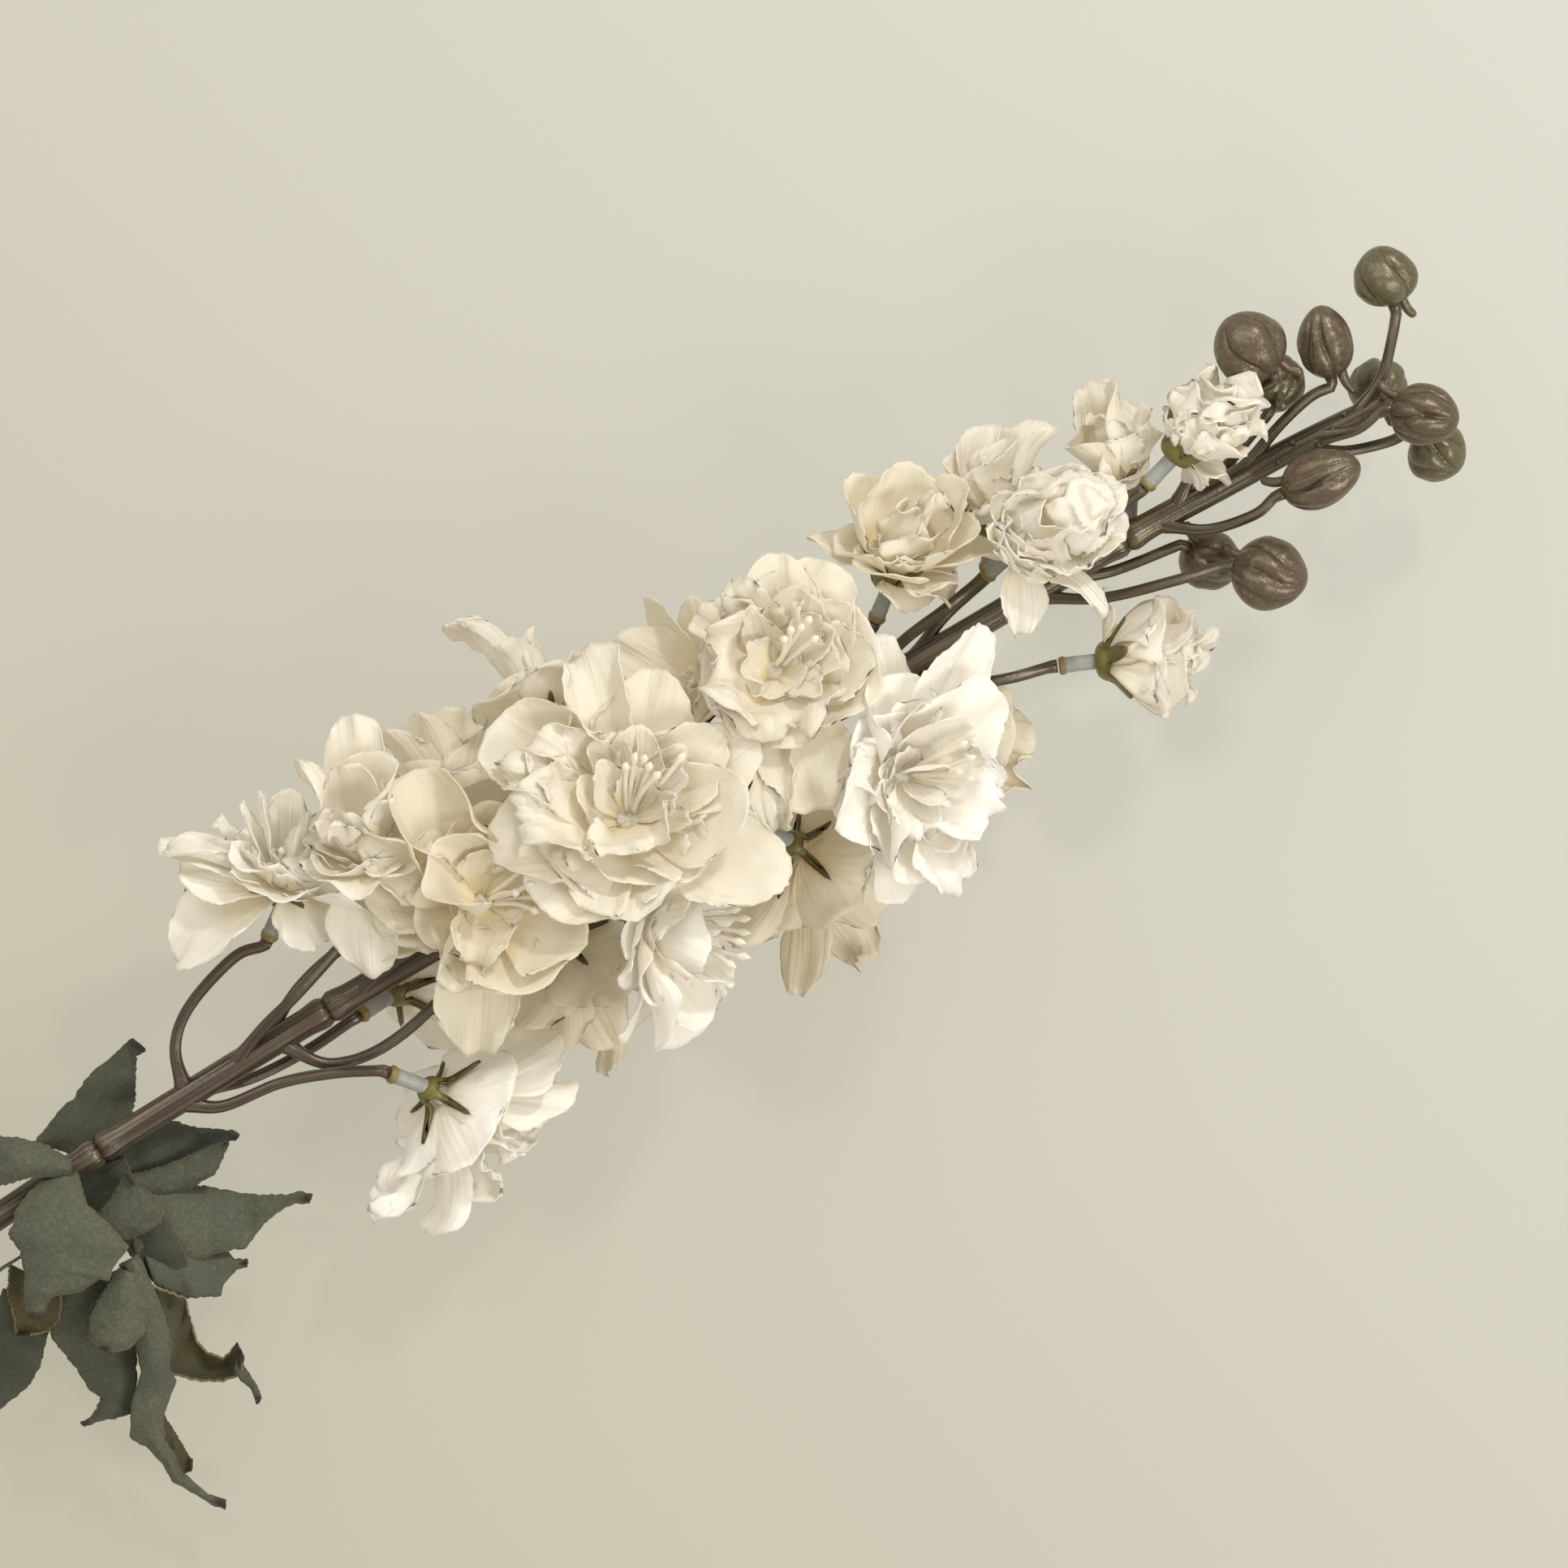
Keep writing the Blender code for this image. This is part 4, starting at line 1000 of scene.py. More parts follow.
def add_bloom(flower, settings, petal_stuff, heart_stuff):
    """Add one flower's whorls, marked petals, folded core and stamens."""
    number, radius = flower[0], flower[3]
    base, facing, *_ = flower_layout(flower)
    axes = bloom_axes(facing)
    name = f"flower_{number:02d}"
    seed = 100 * number
    cut = settings.cut_depth / MM
    wide = radius >= WIDE_BLOOM
    root = base if wide else base - facing * CLAW_SINK
    layers = (open_whorls(radius / OPEN_RADIUS, number in STAMENS) if wide
              else tight_whorls(radius / TIGHT_RADIUS, number in BELLS))

    def add_cloth(label, shape, **form):
        # Each flower's paleness, partly its own colour and partly painted light.
        paint(shape, "whiteness_and_light", WHITENESS_AND_LIGHT[number])
        add_piece(f"{name}_{label}", shape, [petal_stuff], "petal_fabric", [f"{name}_petals"],
                  **form)

    grids = ((10, 12), (10, 12), (7, 9))
    for layer, (label, whorls, size) in enumerate(zip(("outer", "inner", "heart"), layers, grids)):
        if whorls:
            shape = new_shape()
            for index, whorl in enumerate(whorls):
                add_whorl(shape, whorl, root, axes, seed + 20 * layer + 8 * index, cut, size)
            add_cloth(f"{label}_petals", shape, wall=settings.thickness)
    shape = new_shape()
    for index, (right, up, rise, half, style, *turn) in enumerate(PETALS[number]):
        tip = in_view(base, right, up, rise)
        claw = root + (tip - root).normalized() * CLAW_START
        add_petal(shape, claw, tip, half, STYLES[style], facing, seed + 60 + index, cut,
                  petal_grid(half), *turn)
    add_cloth("marked_petals", shape, wall=settings.thickness)
    shape = new_shape()
    if number in KNOTS:
        *place, size, stretch = KNOTS[number]
        add_knot(shape, in_view(base, *place), size, stretch, axes, seed, 40)
    else:
        add_knot(shape, base + facing * 0.5, 0.07 * radius, 0.0, axes, seed, 12)
    add_cloth("folded_core", shape, closed=True)
    if wide:
        shape = new_shape()
        add_stamens(shape, base, axes, STAMENS.get(number), 0.36 * radius, seed,
                    settings.stamen_radius / MM)
        add_piece(f"{name}_stamens", shape, [heart_stuff], "petal_fabric", [f"{name}_petals"],
                  closed=True)


class LARKSPUR_OT_blooms(bpy.types.Operator):
    """Build every bloom's petals, folded core and stamens."""

    bl_idname = "larkspur.blooms"
    bl_label = "Blooms"

    def execute(self, context):
        settings = context.scene.larkspur_petals
        petal_stuff = petal_finish("petal_cloth", settings.rim, settings.throat_tint_and_shade)
        heart_stuff = heart_finish("stamen", settings.heart)
        for flower in FLOWERS:
            add_bloom(flower, settings, petal_stuff, heart_stuff)
        return {"FINISHED"}


# ---------------------------------------------------------------- calyxes and sleeves

# Calyxes with round, stubby arms: how narrow the arms are, how far they lean out, and
# how far they are turned, in degrees.
ROUND_CALYXES = {**dict.fromkeys((16, 17, 18, 19), (0.7, 0.5, 0)), 20: (0.9, 0.5, 0),
                 21: (1.8, 0.85, 24)}
SLIM_ARMS = (4.5, 0.95, 0)
ARM_SPACING = 0.4 * math.pi
CUP_RUN = 5.0            # length of the cup's wall, from the sleeve to where the arms part
CUP_RISE = 3.4


def add_calyx(shape, flower):
    """A cup with five arms that hug the bloom's back: broad and round, or slim and grooved."""
    _, facing, foot, _, _ = flower_layout(flower)
    facing, first, second = bloom_axes(facing)
    scale = min(1.0, 0.62 + 0.38 * flower[3] / 24)
    dice = random.Random(flower[0])
    broad = flower[0] in ROUND_CALYXES
    sharpness, lean, start = ROUND_CALYXES.get(flower[0], SLIM_ARMS)
    if broad:
        shortest, longest, narrowing, climb = 4.6, 12.0, 0.25, 1.1 - 0.5 * lean
        neck, widening, arm_sway, groove = SLEEVE_RADIUS + 0.1, 2.6, 0.0, 0.0
    else:
        shortest, longest, narrowing, climb = 3.2, 13.0, 0.55, 0.2
        neck, widening, arm_sway, groove = SLEEVE_RADIUS * 0.8, 1.7, 1.0, 0.5
    spans = [dice.uniform(0.85, 1.12) for _ in range(5)]
    bends = [dice.uniform(-0.22, 0.22) * arm_sway for _ in range(5)]
    cup_run = CUP_RUN * scale
    for vert, turn, share in add_grid(shape, 60, 13):
        angle = 2 * math.pi * turn
        middle = round(angle / ARM_SPACING)
        off = angle - middle * ARM_SPACING
        arm = max(0.0, math.cos(2.5 * off)) ** sharpness
        run = share * scale * (shortest + (longest - shortest) * arm * spans[middle % 5])
        arm_run = max(0.0, run - cup_run)
        off *= 1 - narrowing * smoothstep(0.35, 1.0, share)
        angle = (math.radians(start) + middle * ARM_SPACING + off
                 + bends[middle % 5] * smoothstep(0.4, 1.0, share))
        bend = min(run, cup_run) / cup_run * math.pi / 2
        out = neck + widening * scale * math.sin(bend) + arm_run * lean
        up = CUP_RISE * scale * (1 - math.cos(bend)) + arm_run * climb
        up += groove * hump(off, 0, 0.07) * smoothstep(0.3, 0.6, share)
        vert.co = foot + swing(first, second, angle) * out + facing * up
    bmesh.ops.remove_doubles(shape, verts=shape.verts, dist=MERGE)


def sleeve_radius(share, angle):
    """The sleeve's radius along it: a glue bead, a rim and a smooth tube."""
    lumps = 1 + 0.6 * math.sin(2 * angle + 1) + 0.3 * math.sin(5 * angle)
    bead = 0.5 * hump(share, 0.08, 0.07) * lumps
    return SLEEVE_RADIUS * 0.92 + bead + 0.12 * hump(share, 0.28, 0.03)


class LARKSPUR_OT_calyxes(bpy.types.Operator):
    """Build the calyxes and the clear sleeves that hold them on the pedicels."""

    bl_idname = "larkspur.calyxes"
    bl_label = "Calyxes and sleeves"

    def execute(self, context):
        settings = context.scene.larkspur_green
        calyx_stuff = calyx_finish("calyx_moulding", settings.calyx, settings.calyx_tip)
        sleeve_stuff = sleeve_finish("clear_sleeve", settings.sleeve, settings.glue)
        for flower in FLOWERS:
            name = f"flower_{flower[0]:02d}"
            shape = new_shape()
            add_calyx(shape, flower)
            add_piece(f"{name}_calyx_cup", shape, [calyx_stuff], "calyx", [f"{name}_calyx"],
                      settings.calyx_wall)
            _, _, foot, sleeve_foot, _ = flower_layout(flower)
            shape = new_shape()
            end = foot + (foot - sleeve_foot).normalized() * SLEEVE_OVERLAP
            line = Line(smooth_route([sleeve_foot, end], 6))
            add_tube(shape, line, sleeve_radius, 20, 22)
            add_piece(f"{name}_sleeve", shape, [sleeve_stuff], "calyx", [f"{name}_calyx"],
                      closed=True)
        return {"FINISHED"}


# ---------------------------------------------------------------- stem

RING_STEP = 1.2          # between the rings of the stem's and stalks' mesh
SECTION_STEP = 3         # between the points of a section's axis
END_GAP = GAP / 4        # what a section stops short of its end
# Small blunt nubs on the last section: place along the stem and turn round it from its top.
NUBS = [(404, 0.5), (408.5, -0.4), (413, 0.9), (417, 0.1), (420.5, -0.7), (424, 0.5)]
NUB_RADIUS = 0.75


def section_radius(start, end):
    """Radius of a moulded section: ridged, with a swollen knuckle at each end."""
    def at(share, angle):
        x = start + (end - start) * share
        near = min(x - start, end - x)
        rounding = 0.35 * (1 - smoothstep(0.0, 0.5, near))
        ridges = 0.10 * math.cos(9 * angle + 0.05 * x) + 0.06 * math.cos(17 * angle)
        return blend(STEM_RADII, x) + 0.45 * hump(near, 1.6, 2.2) - rounding + ridges
    return at


def stalk_radius(radius, length):
    """Radius of a stalk: flared where it leaves the stem and a little where it ends."""
    def at(share, angle):
        run = share * length
        flare = 0.9 * math.exp(-max(0.0, run - 2.2) / 2.6)
        end = 0.22 * smoothstep(3.0, 0.0, length - run)
        ridges = 0.05 * math.cos(7 * angle + 0.1 * run)
        return radius * 0.95 + flare + end + ridges
    return at


def add_nubs(shape):
    """Add the nubs of the last section."""
    for x, turn in NUBS:
        point, side, up = Line([on_stem(x - 1), on_stem(x + 1)]).at(0.5)
        place = point + swing(side, up, turn) * blend(STEM_RADII, x)
        bmesh.ops.create_icosphere(shape, subdivisions=3, radius=NUB_RADIUS, calc_uvs=True,
                                   matrix=Matrix.Translation(place))


class LARKSPUR_OT_stem(bpy.types.Operator):
    """Build the stem's moulded sections with their pedicels and stalks."""

    bl_idname = "larkspur.stem"
    bl_label = "Stem"

    def execute(self, context):
        settings = context.scene.larkspur_green
        stuff = stem_finish("moulded_stem", settings.stem, settings.groove_shade, settings.stem_tip)
        for name, start, end in SECTION_ENDS:
            first, last = start + END_GAP, end - END_GAP
            steps = max(12, round((last - first) / SECTION_STEP))
            route = [on_stem(first + (last - first) * i / steps) for i in range(steps + 1)]
            shape = new_shape()
            add_tube(shape, Line(route), section_radius(first, last), 40,
                     round((last - first) / RING_STEP))
            stalks = [(flower_layout(f)[4], PEDICEL_RADIUS) for f in FLOWERS
                      if start <= f[4] < end]
            stalks += [(bud_layout(b)[1], STALK_RADIUS) for b in BUDS if start <= b[5] < end]
            for route, radius in stalks:
                line = Line(route)
                add_tube(shape, line, stalk_radius(radius, line.length), 14,
                         round(line.length / RING_STEP))
            if name == "bud_section":
                add_nubs(shape)
            add_piece(f"{name}_skin", shape, [stuff], "moulded_stem", [name], closed=True)
        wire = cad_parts["core_wire"]
        wire.data.materials.clear()
        wire.data.materials.append(wire_finish("drawn_wire"))
        return {"FINISHED"}


# ---------------------------------------------------------------- buds

# Each bud's creases, in degrees round the bud from the side that is up; the first is deepest.
SEAMS = {
    1: (-28, 38, 120), 2: (8, 55, -70), 3: (4, 58, -62), 4: (28, -60, 110),
    5: (10, 80, -75), 6: (16, -40, -12, 44, 75), 7: (6, -48, 60), 8: (-4, -36, 30, 70),
    9: (12, -38, 50, 95), 10: (-10, 40, -70),
}
OLIVE_BUDS = (2, 4, 5, 7)


def add_spur(shape, centre, facing, back, width, length):
    """Add a bud's blunt spur, which points to the same side as its stalk bends back to."""
    side = (back - facing * back.dot(facing)).normalized()
    foot = centre - facing * (length * 0.36) + side * width * 0.20
    middle = foot - facing * 3.4 + side * 0.7
    tip = foot - facing * 6.0 + side * 2.3
    line = Line(smooth_route([foot, middle, tip], 8), facing.cross(side))
    add_tube(shape, line, lambda share, _: (1.15 - 0.25 * share) * round_end(share, 0.85), 14, 24)


def add_bud(shape, bud):
    """An egg-shaped bud, creased lengthwise, with a blunt spur beside its stalk."""
    number, centre, _, width, length, _, _ = bud
    centre = Vector(centre)
    facing, route = bud_layout(bud)
    _, first, second = bloom_axes(facing)
    towards_camera = math.atan2(second.z, first.z)
    crease = shape.verts.layers.float.new("crease")
    for vert in add_ball(shape, 80, 32):
        angle = math.atan2(vert.co.y, vert.co.x)
        rise = vert.co.z
        belt = math.sqrt(max(0.0, 1 - rise * rise))
        dent = valley = 0.0
        for index, place in enumerate(SEAMS[number]):
            drift = towards_camera + math.radians(place) + 0.3 * math.sin(1.6 * rise + place)
            gap = (angle - drift + math.pi) % (2 * math.pi) - math.pi
            depth = (0.11 if index == 0 else 0.07) * belt ** 0.7
            dent += depth * hump(gap, 0, 0.07)
            valley += depth * hump(gap, 0, 0.24)
        girth = 1 + 0.05 * math.cos(2 * angle) - 0.08 * rise - dent - valley
        bump = 0.05 * noise.noise(vert.co * 2.2 + Vector((number * 5, 0, 0)))
        vert[crease] = min(1.0, dent * 9)
        tall = length / 2 * (rise + 0.05 * max(0.0, rise) ** 6 - 0.3 * valley * rise * belt)
        vert.co = (centre + facing * tall
                   + swing(first, second, angle) * width / 2 * belt * (girth + bump))
    add_spur(shape, centre, facing, route[-1] - route[-10], width, length)


class LARKSPUR_OT_buds(bpy.types.Operator):
    """Build the closed buds at the tip."""

    bl_idname = "larkspur.buds"
    bl_label = "Buds"

    def execute(self, context):
        settings = context.scene.larkspur_green
        stuff = bud_finish("moulded_bud", settings.bud, settings.bud_seam_shade)
        for bud in BUDS:
            shape = new_shape()
            add_bud(shape, bud)
            paint(shape, "olive", 1.0 if bud[0] in OLIVE_BUDS else 0.0)
            name = f"bud_{bud[0]:02d}"
            add_piece(f"{name}_skin", shape, [stuff], "moulded_bud", [name], closed=True)
        return {"FINISHED"}


# ---------------------------------------------------------------- leaves

# One blade of a leaf: its two edges from foot to tip, as lengths to the right of and above the
# leaf joint in the camera's view; its heights from foot to tip; how far its middle stands above
# its edges; how much painted shade darkens it, for blades that lie in shade; and whether its
# underside is up.
Blade = namedtuple("Blade", "left right heights fold dark flipped", defaults=(0.2, False))
LEAF_JOINT = Vector((125.3, 1.9, 0))
LEAVES = {
    "leaf_behind": [
        Blade([(-2, -3), (-14.5, 1), (-8, 9), (-6.7, 9.5), (-4.5, 13.3), (-1.7, 16.2),
               (0.8, 17.8), (4.7, 21.7), (5.8, 22.3)],
              [(3, -2), (5.5, 6), (6.2, 10.3), (6.2, 15.3), (6.2, 18.7), (8.3, 20)],
              [-5, -7, -8, -7, -5], 1.5, 0.55),
        Blade([(-8, -6), (-6, -12), (-1.5, -14.5)],
              [(4, -2), (6, -7), (1, -13.5)], [-3, -4, -4], 0.5, 0.9),
        Blade([(0, 1), (8, 4.5), (14, 5.3), (19, 3.7), (26.7, 3.3), (27.5, 2.2)],
              [(0, -7), (3.3, -7.5), (11.7, -4), (20, -0.5), (25.8, 1.5), (27, 1.6)],
              [-5, -7, -8, -9, -8], 1.5, 0.75),
    ],
    "leaf_side": [
        Blade([(3.3, -6.3), (11.7, -4.2), (18, -1.5), (25, 1.3)],
              [(5, -11), (18, -8), (22.5, -5.5), (24.7, -0.5), (25.3, 1)],
              [-4, -5, -5, -4], 1.5, 0.35),
        Blade([(3, -7), (10, -8), (18.3, -7.8), (29.2, -9.7), (37.5, -10), (40, -9), (42.5, -10)],
              [(6, -22), (18, -23), (25, -21.3), (28.7, -20.8), (32.5, -15.5), (35.8, -13),
               (38.7, -11.4), (42, -11.4)],
              [-3, -6, -9, -10, -9, -7], 2.5, 0.1),
        Blade([(6, -16), (18, -19), (25, -21.5), (26.2, -23), (29.3, -23.2)],
              [(10, -28), (15.3, -31), (23.5, -30.7), (24.2, -28), (26.7, -25.2), (29.2, -24.3)],
              [-4, -8, -12, -13], 1.5, 0.15),
        Blade([(-2, -14), (4.2, -21), (8, -26), (13, -30)],
              [(4, -7), (9, -9), (12.2, -13), (12.6, -16.5), (16.3, -21.3), (17, -25), (19.2, -28),
               (15.3, -30.5)],
              [0, 0, -3, -7, -9], 1.0, 0.85),
        Blade([(-2, -14), (1, -11), (3.7, -6.5), (4.5, -5.5)],
              [(4, -19), (8.5, -17.3), (11.5, -15.5), (12, -13), (9, -9.5), (5.5, -7.5)],
              [1.5, 1.5, 1, 1], 1.2, 0.35),
        Blade([(9.5, -28.5), (12.5, -29.5), (16.5, -31), (17.6, -35.5), (18.7, -39.7),
               (20.8, -42.2), (24.2, -43.5), (26.5, -41), (27.2, -40.2)],
              [(9.5, -31), (10.8, -34), (13.3, -40), (12.8, -46), (14.2, -46.8), (19.2, -48),
               (24.2, -48), (28, -46.5), (28.3, -43)],
              [2, -2, -6, -10, -12, -10, -5], -3.0, 0.3, True),
        Blade([(27, -43), (29, -46), (31, -49), (32, -51.7)],
              [(26.5, -46), (28, -48), (30, -49.5), (31.2, -52.7)],
              [-9, -10, -12, -14], 0.8, 0.3),
    ],
    "leaf_front": [
        Blade([(-7, -3), (-12, 0.3), (-17.5, 1.7), (-22, 2.2), (-31, 0.5)],
              [(-7, -6), (-15, -6), (-20, -7.5), (-26, -8.5), (-31, -3)],
              [6, 8, 9, 7, 3], 2.5, 0.15),
        Blade([(-12, -31), (-11.3, -38.8), (-5.8, -45.5), (-3.3, -49.7), (-0.8, -51.3),
               (-1.7, -53.8), (-3, -55.5), (-5, -56.8)],
              [(3, -25), (6.5, -38), (6.5, -48), (6, -52.5), (5, -54.7), (1.7, -55.7), (-1, -56),
               (-4.5, -57.3)],
              [-1, -4, -8, -12, -15], 1.5, 0.45),
        Blade([(-20.8, -29), (-25, -38), (-31, -47)],
              [(-9, -33), (-11.7, -38), (-13.3, -44.7), (-15.3, -48.8), (-21.7, -53.8), (-29, -56)],
              [-4, -8, -13, -16], 1.5, 0.7),
        Blade([(3, -24), (5, -35), (7.5, -46), (5.5, -52), (5, -59.7), (8.3, -61.3),
               (11.7, -64.7), (13.8, -68.5), (17.5, -70.5), (22, -73.3), (24.7, -74.3)],
              [(6.7, -22), (10.8, -31.3), (13, -38), (12.8, -44.7), (14.5, -48), (12.5, -53),
               (11.7, -55.5), (12, -60), (14, -63), (16, -67), (20.8, -71.3), (24.8, -72.6)],
              [3, 2, -2, -8, -14, -19, -23], 2.2, 0.1),
        Blade([(11.5, -54), (15, -60), (17.8, -64.3)],
              [(11.5, -58), (13.5, -64), (16, -67), (17.7, -66.5)],
              [-15, -17, -19], 0.5, 0.5, True),
        Blade([(5, -53), (5.3, -56), (5.5, -59)], [(9, -53), (9, -56), (7, -59.3)],
              [-14, -15, -17], 0.4, 0.3, True),
        Blade([(3, -25), (-1, -31), (-3, -35), (-3.2, -39), (-1, -41.5)],
              [(6.5, -26), (8.5, -33), (8, -38), (5, -41.3), (0.5, -42.3)],
              [4.5, 5, 4, 3, 0], 2.8, 0.05),
        Blade([(-19.7, -24), (-20.2, -30), (-18.8, -35), (-18.3, -38.8)],
              [(-9, -29), (-9, -33), (-9.5, -35.8), (-12, -38), (-16, -38.7)],
              [1, 0, -2, -4], -1.5, 0.0, True),
        Blade([(-13.3, -7.2), (-15.8, -9.7), (-18.3, -13), (-18.8, -15.5), (-20, -18),
               (-17.5, -21.3), (-16.4, -26.3), (-16.5, -31.3), (-15.7, -35)],
              [(-5.8, -5.2), (-3.8, -12.2), (-1.7, -13.5), (5, -20.5), (2.2, -23.8), (0.5, -27.5),
               (-0.8, -26.7), (-5.3, -29.7), (-10.8, -30.5), (-13.7, -35.5)],
              [6, 8, 8.5, 8, 6, 3], 2.0, 0.05),
        Blade([(-18, -23), (-21, -25), (-25, -28)], [(-17, -22.2), (-20, -24), (-25, -27)],
              [5, 4, 3], 0.5, 0.3),
    ],
}


def edge_at(points, share):
    """Place at a share of an edge's length, with straight stretches between its points."""
    runs = [0.0]
    for a, b in zip(points, points[1:]):
        runs.append(runs[-1] + math.dist(a, b))
    run = share * runs[-1]
    index = min(max(bisect_left(runs, run), 1), len(runs) - 1) - 1
    t = (run - runs[index]) / (runs[index + 1] - runs[index])
    (a_right, a_up), (b_right, b_up) = points[index], points[index + 1]
    return Vector((a_right + (b_right - a_right) * t, a_up + (b_up - a_up) * t))


def seen_at(right, up, height):
    """The place at a height that the camera sees to the right of and above the leaf joint."""
    flat = in_view(LEAF_JOINT, right, up, 0) - VIEW_CENTRE
    place = VIEW_CENTRE + flat * ((VIEW_HEIGHT - height) / VIEW_HEIGHT)
    place.z = height
    return place


def faces_up(blade):
    """Whether the grid's own upper side would be up, from how the edges run."""
    lean = 0.0
    for share in (0.2, 0.4, 0.6, 0.8):
        way = edge_at(blade.left, share + 0.1) - edge_at(blade.left, share - 0.1)
        over = edge_at(blade.right, share) - edge_at(blade.left, share)
        lean += over.x * way.y - over.y * way.x
    return lean > 0


def add_blade(shape, blade, seed):
    """One jagged blade of a leaf: frayed edges, a raised middle and a curled tip."""
    # A layer of painted shade: how much each blade carries.
    shade_layer = shape.verts.layers.float.get("dark") or shape.verts.layers.float.new("dark")
    turned = 1 if faces_up(blade) != blade.flipped else -1
    stops = [(i / (len(blade.heights) - 1), z) for i, z in enumerate(blade.heights)]
    for vert, across, along in add_grid(shape, 20, 60):
        u = (2 * across - 1) * turned
        fray = 0.35 * noise.noise(Vector((along * 34, u * 3 + seed, seed * 1.7)))
        fray += 0.25 * noise.noise(Vector((along * 80, u, seed * 2.9)))
        left, right = edge_at(blade.left, along), edge_at(blade.right, along)
        half = (right - left) / 2
        if half.length > 0:
            half += half.normalized() * fray * abs(u) ** 4
        spot = (left + right) / 2 + half * u
        height = 0.0
        for (a, low), (b, high) in zip(stops, stops[1:]):
            if a <= along <= b:
                height = low + (high - low) * smoothstep(a, b, along)
        cloud = noise.noise(Vector((spot.x * 0.13, spot.y * 0.13, seed * 1.7)))
        crease = noise.noise(Vector((u * 1.1, along * 5, seed * 3.1)))
        height += blade.fold * (1 - u * u) - 0.12 * hump(u, 0, 0.06)
        height += 1.1 * cloud + 0.8 * crease * abs(u) + 2.0 * smoothstep(0.9, 1.0, along) ** 2
        vert.co = seen_at(spot.x, spot.y, height)
        vert[shade_layer] = blade.dark


class LARKSPUR_OT_leaves(bpy.types.Operator):
    """Build the jagged leaves at the joint below the flowers."""

    bl_idname = "larkspur.leaves"
    bl_label = "Leaves"

    def execute(self, context):
        settings = context.scene.larkspur_leaves
        under_fleck = srgb(104, 94, 46)
        stuffs = [leaf_finish("leaf_upper", settings.upper, settings.fleck, settings.edge, 0.8),
                  leaf_finish("leaf_under", settings.under, under_fleck, settings.edge, 0.5)]
        for name, blades in LEAVES.items():
            shape = new_shape()
            for index, blade in enumerate(blades):
                add_blade(shape, blade, index + 7)
            add_piece(f"{name}_blades", shape, stuffs, "leaf_fabric", [name], settings.thickness)
        return {"FINISHED"}


# ---------------------------------------------------------------- stage

def floor_finish(settings):
    """Plain pale floor that gives off light, with painted light that makes it brighter towards one
    corner, the window side.
    """
    finish = Finish("pale_floor")
    slanted = finish.node("Mapping", {}, {"Vector": finish.place,
                                          "Rotation": (0, 0, math.radians(-15))})
    towards_window = finish.node("SeparateXYZ", {}, {"Vector": slanted})
    shade = finish.mix(finish.ramp(towards_window, -330, 420), settings.floor_near,
                       settings.floor_far)
    finish.surface({
        "Base Color": finish.mix(0.85, shade, srgb(70, 68, 62)),
        "Roughness": 0.9,
        "Specular IOR Level": 0.1,
        "Emission Color": shade,
        "Emission Strength": settings.floor_glow,
    })
    finish.bump(finish.speckle(finish.place, 0.9, 2.0), 0.02, 0.3)
    return finish.material


def add_light(name, place, aim, size, power, colour):
    """A square soft light at a place in metres, turned to an aim."""
    data = bpy.data.lights.new(name, "AREA")
    data.size = size
    data.energy = power
    data.color = colour
    light = bpy.data.objects.new(name, data)
    light.location = place
    light.rotation_euler = (aim - place).to_track_quat("-Z", "Y").to_euler()
    bpy.context.scene.collection.objects.link(light)


def add_camera(settings, aim):
    """Add the camera, which looks straight down on the aim."""
    data = bpy.data.cameras.new("camera")
    data.sensor_width = 36
    data.lens = settings.focal_length
    data.clip_end = 20
    camera = bpy.data.objects.new("camera", data)
    camera.location = aim + Vector((0, 0, settings.camera_height))
    camera.rotation_euler = (0, 0, -settings.spray_turn)
    bpy.context.scene.collection.objects.link(camera)
    bpy.context.scene.camera = camera


def add_floor(settings):
    """Add the flat surface that the spray lies on."""
    shape = bmesh.new()
    bmesh.ops.create_grid(shape, x_segments=1, y_segments=1, size=3.0)
    mesh = bpy.data.meshes.new("floor")
    shape.to_mesh(mesh)
    shape.free()
    mesh.materials.append(floor_finish(settings))
    floor = bpy.data.objects.new("floor", mesh)
    bpy.context.scene.collection.objects.link(floor)


def add_room():
    """Add the even light of a pale room."""
    room = bpy.data.worlds.new("soft_room")
    room.use_nodes = True
    light = room.node_tree.nodes["Background"]
    light.inputs["Color"].default_value = (1.0, 0.96, 0.875, 1.0)
    light.inputs["Strength"].default_value = 0.62
    bpy.context.scene.world = room


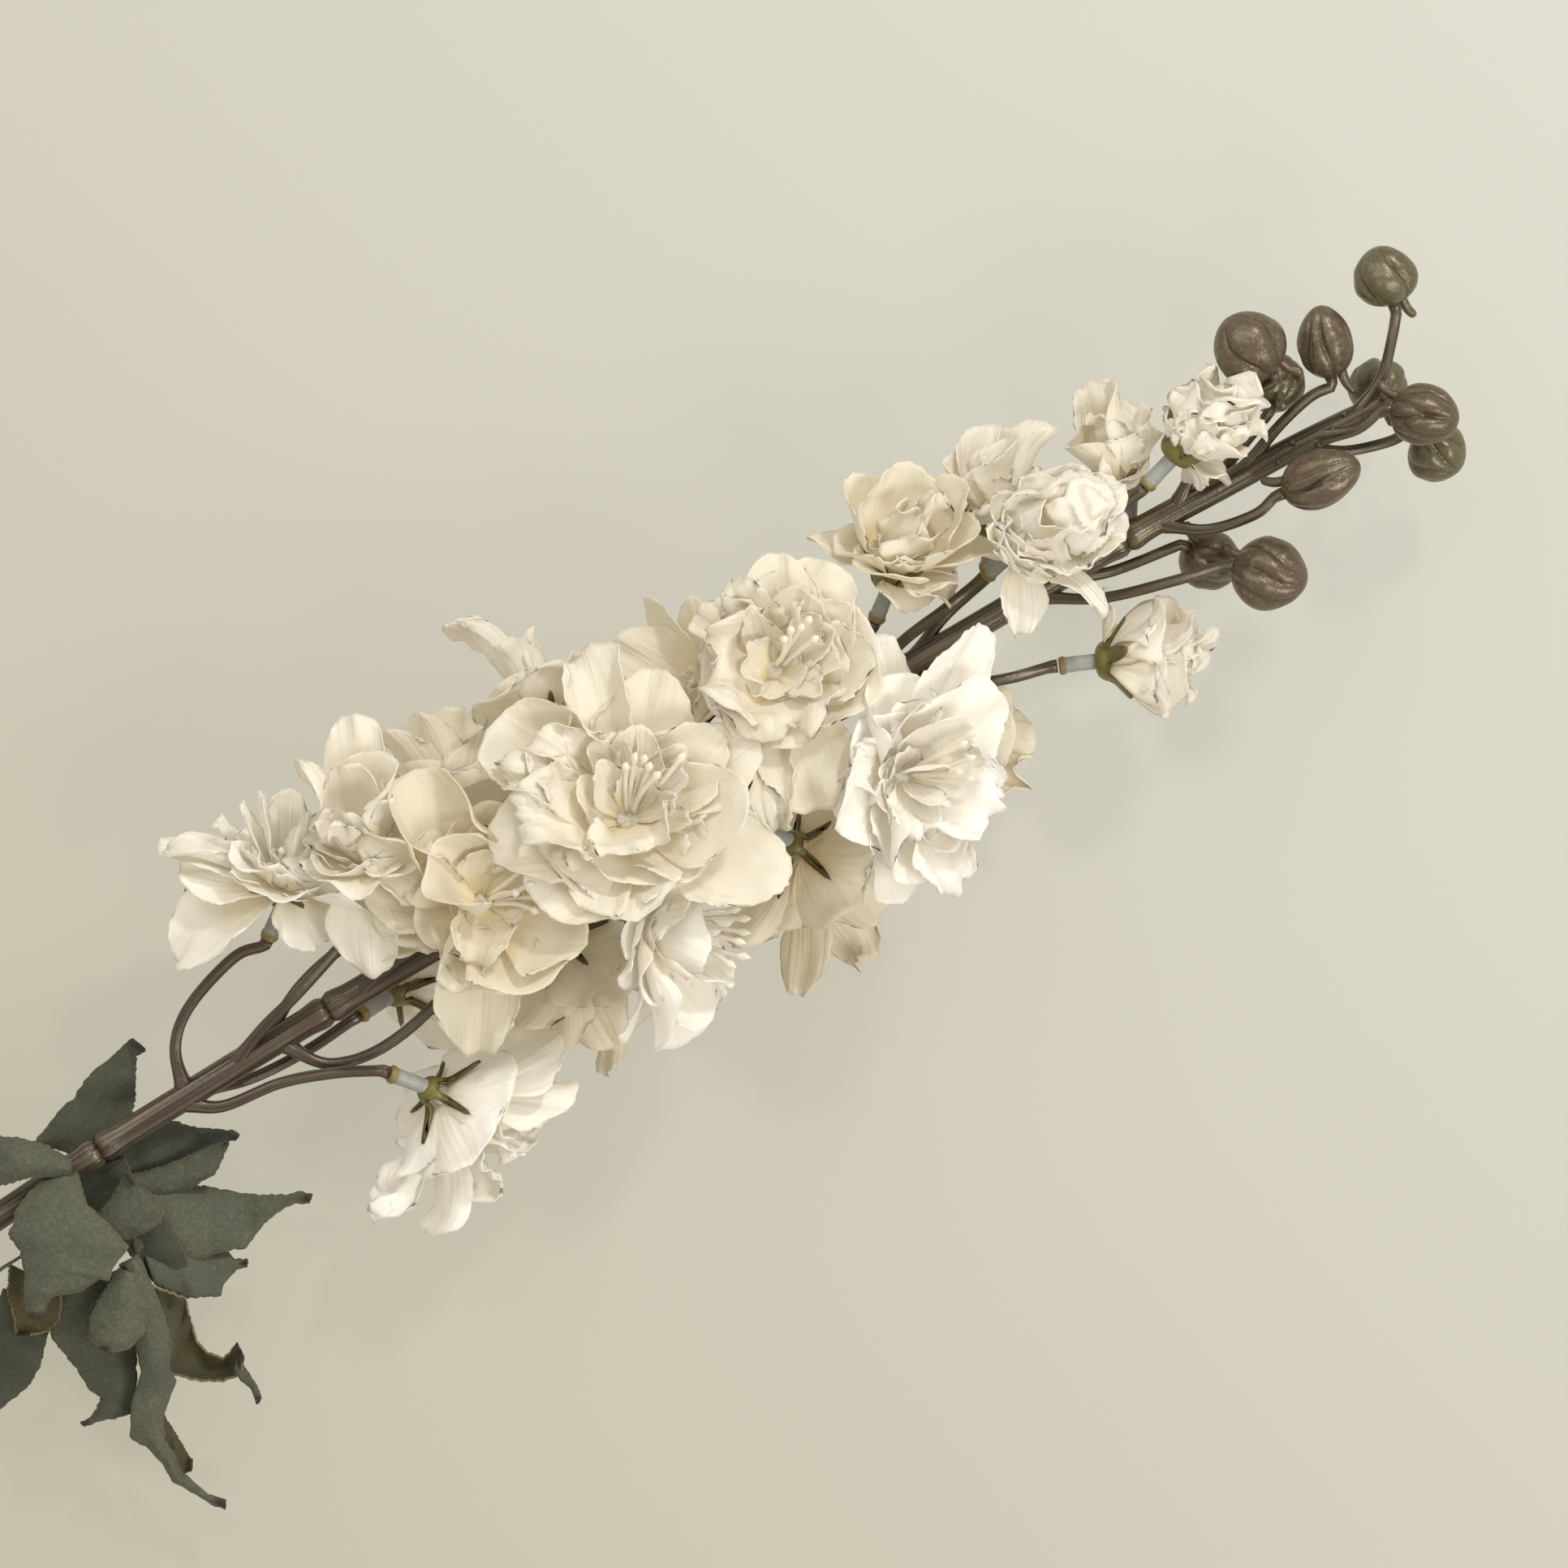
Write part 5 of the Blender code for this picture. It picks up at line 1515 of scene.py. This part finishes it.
class LARKSPUR_OT_stage(bpy.types.Operator):
    """Build the camera, floor and lights."""

    bl_idname = "larkspur.stage"
    bl_label = "Stage"

    def execute(self, context):
        settings = context.scene.larkspur_stage
        aim = STEM_TO_WORLD @ VIEW_CENTRE
        add_camera(settings, aim)
        turn = Matrix.Rotation(-settings.spray_turn, 3, "Z")
        for name, way, size, power, colour in (
                ("key", (0.75, -0.45, 0.9), 0.5, settings.key_power, (1.0, 0.99, 0.98)),
                ("fill", (-0.6, 0.7, 1.1), 0.8, settings.fill_power, (0.97, 0.98, 1.0)),
                ("spark", (0.45, 0.85, 1.0), 0.14, settings.spark_power, (1.0, 0.99, 0.97))):
            add_light(name, aim + turn @ Vector(way), aim, size, power, colour)
        add_floor(settings)
        add_room()
        context.scene.view_settings.view_transform = "Standard"
        return {"FINISHED"}


# ---------------------------------------------------------------- panel and main

class LARKSPUR_PT_panel(bpy.types.Panel):
    """Buttons that build the spray, with its sizes and colours."""

    bl_label = "Larkspur spray"
    bl_space_type = "VIEW_3D"
    bl_region_type = "UI"
    bl_category = "Larkspur"

    def draw(self, context):
        for operator in OPERATORS:
            self.layout.operator(operator.bl_idname)
        for group in SETTINGS:
            box = self.layout.box()
            owner = getattr(context.scene, group)
            for name in owner.__annotations__:
                box.prop(owner, name)


OPERATORS = (LARKSPUR_OT_stage, LARKSPUR_OT_stem, LARKSPUR_OT_calyxes, LARKSPUR_OT_blooms,
             LARKSPUR_OT_buds, LARKSPUR_OT_leaves)
SETTINGS = {
    "larkspur_petals": LARKSPUR_PG_petals,
    "larkspur_green": LARKSPUR_PG_green,
    "larkspur_leaves": LARKSPUR_PG_leaves,
    "larkspur_stage": LARKSPUR_PG_stage,
}


def register():
    """Add the settings, operators and panel."""
    for name, group in SETTINGS.items():
        bpy.utils.register_class(group)
        setattr(bpy.types.Scene, name, PointerProperty(type=group))
    for item in (*OPERATORS, LARKSPUR_PT_panel):
        bpy.utils.register_class(item)


def unregister():
    """Take away what register added."""
    for item in (LARKSPUR_PT_panel, *reversed(OPERATORS)):
        bpy.utils.unregister_class(item)
    for name, group in SETTINGS.items():
        delattr(bpy.types.Scene, name)
        bpy.utils.unregister_class(group)


def main():
    """Build everything in order."""
    register()
    bpy.ops.larkspur.stage()
    bpy.ops.larkspur.stem()
    bpy.ops.larkspur.calyxes()
    bpy.ops.larkspur.blooms()
    bpy.ops.larkspur.buds()
    bpy.ops.larkspur.leaves()


if __name__ == "__main__":
    main()
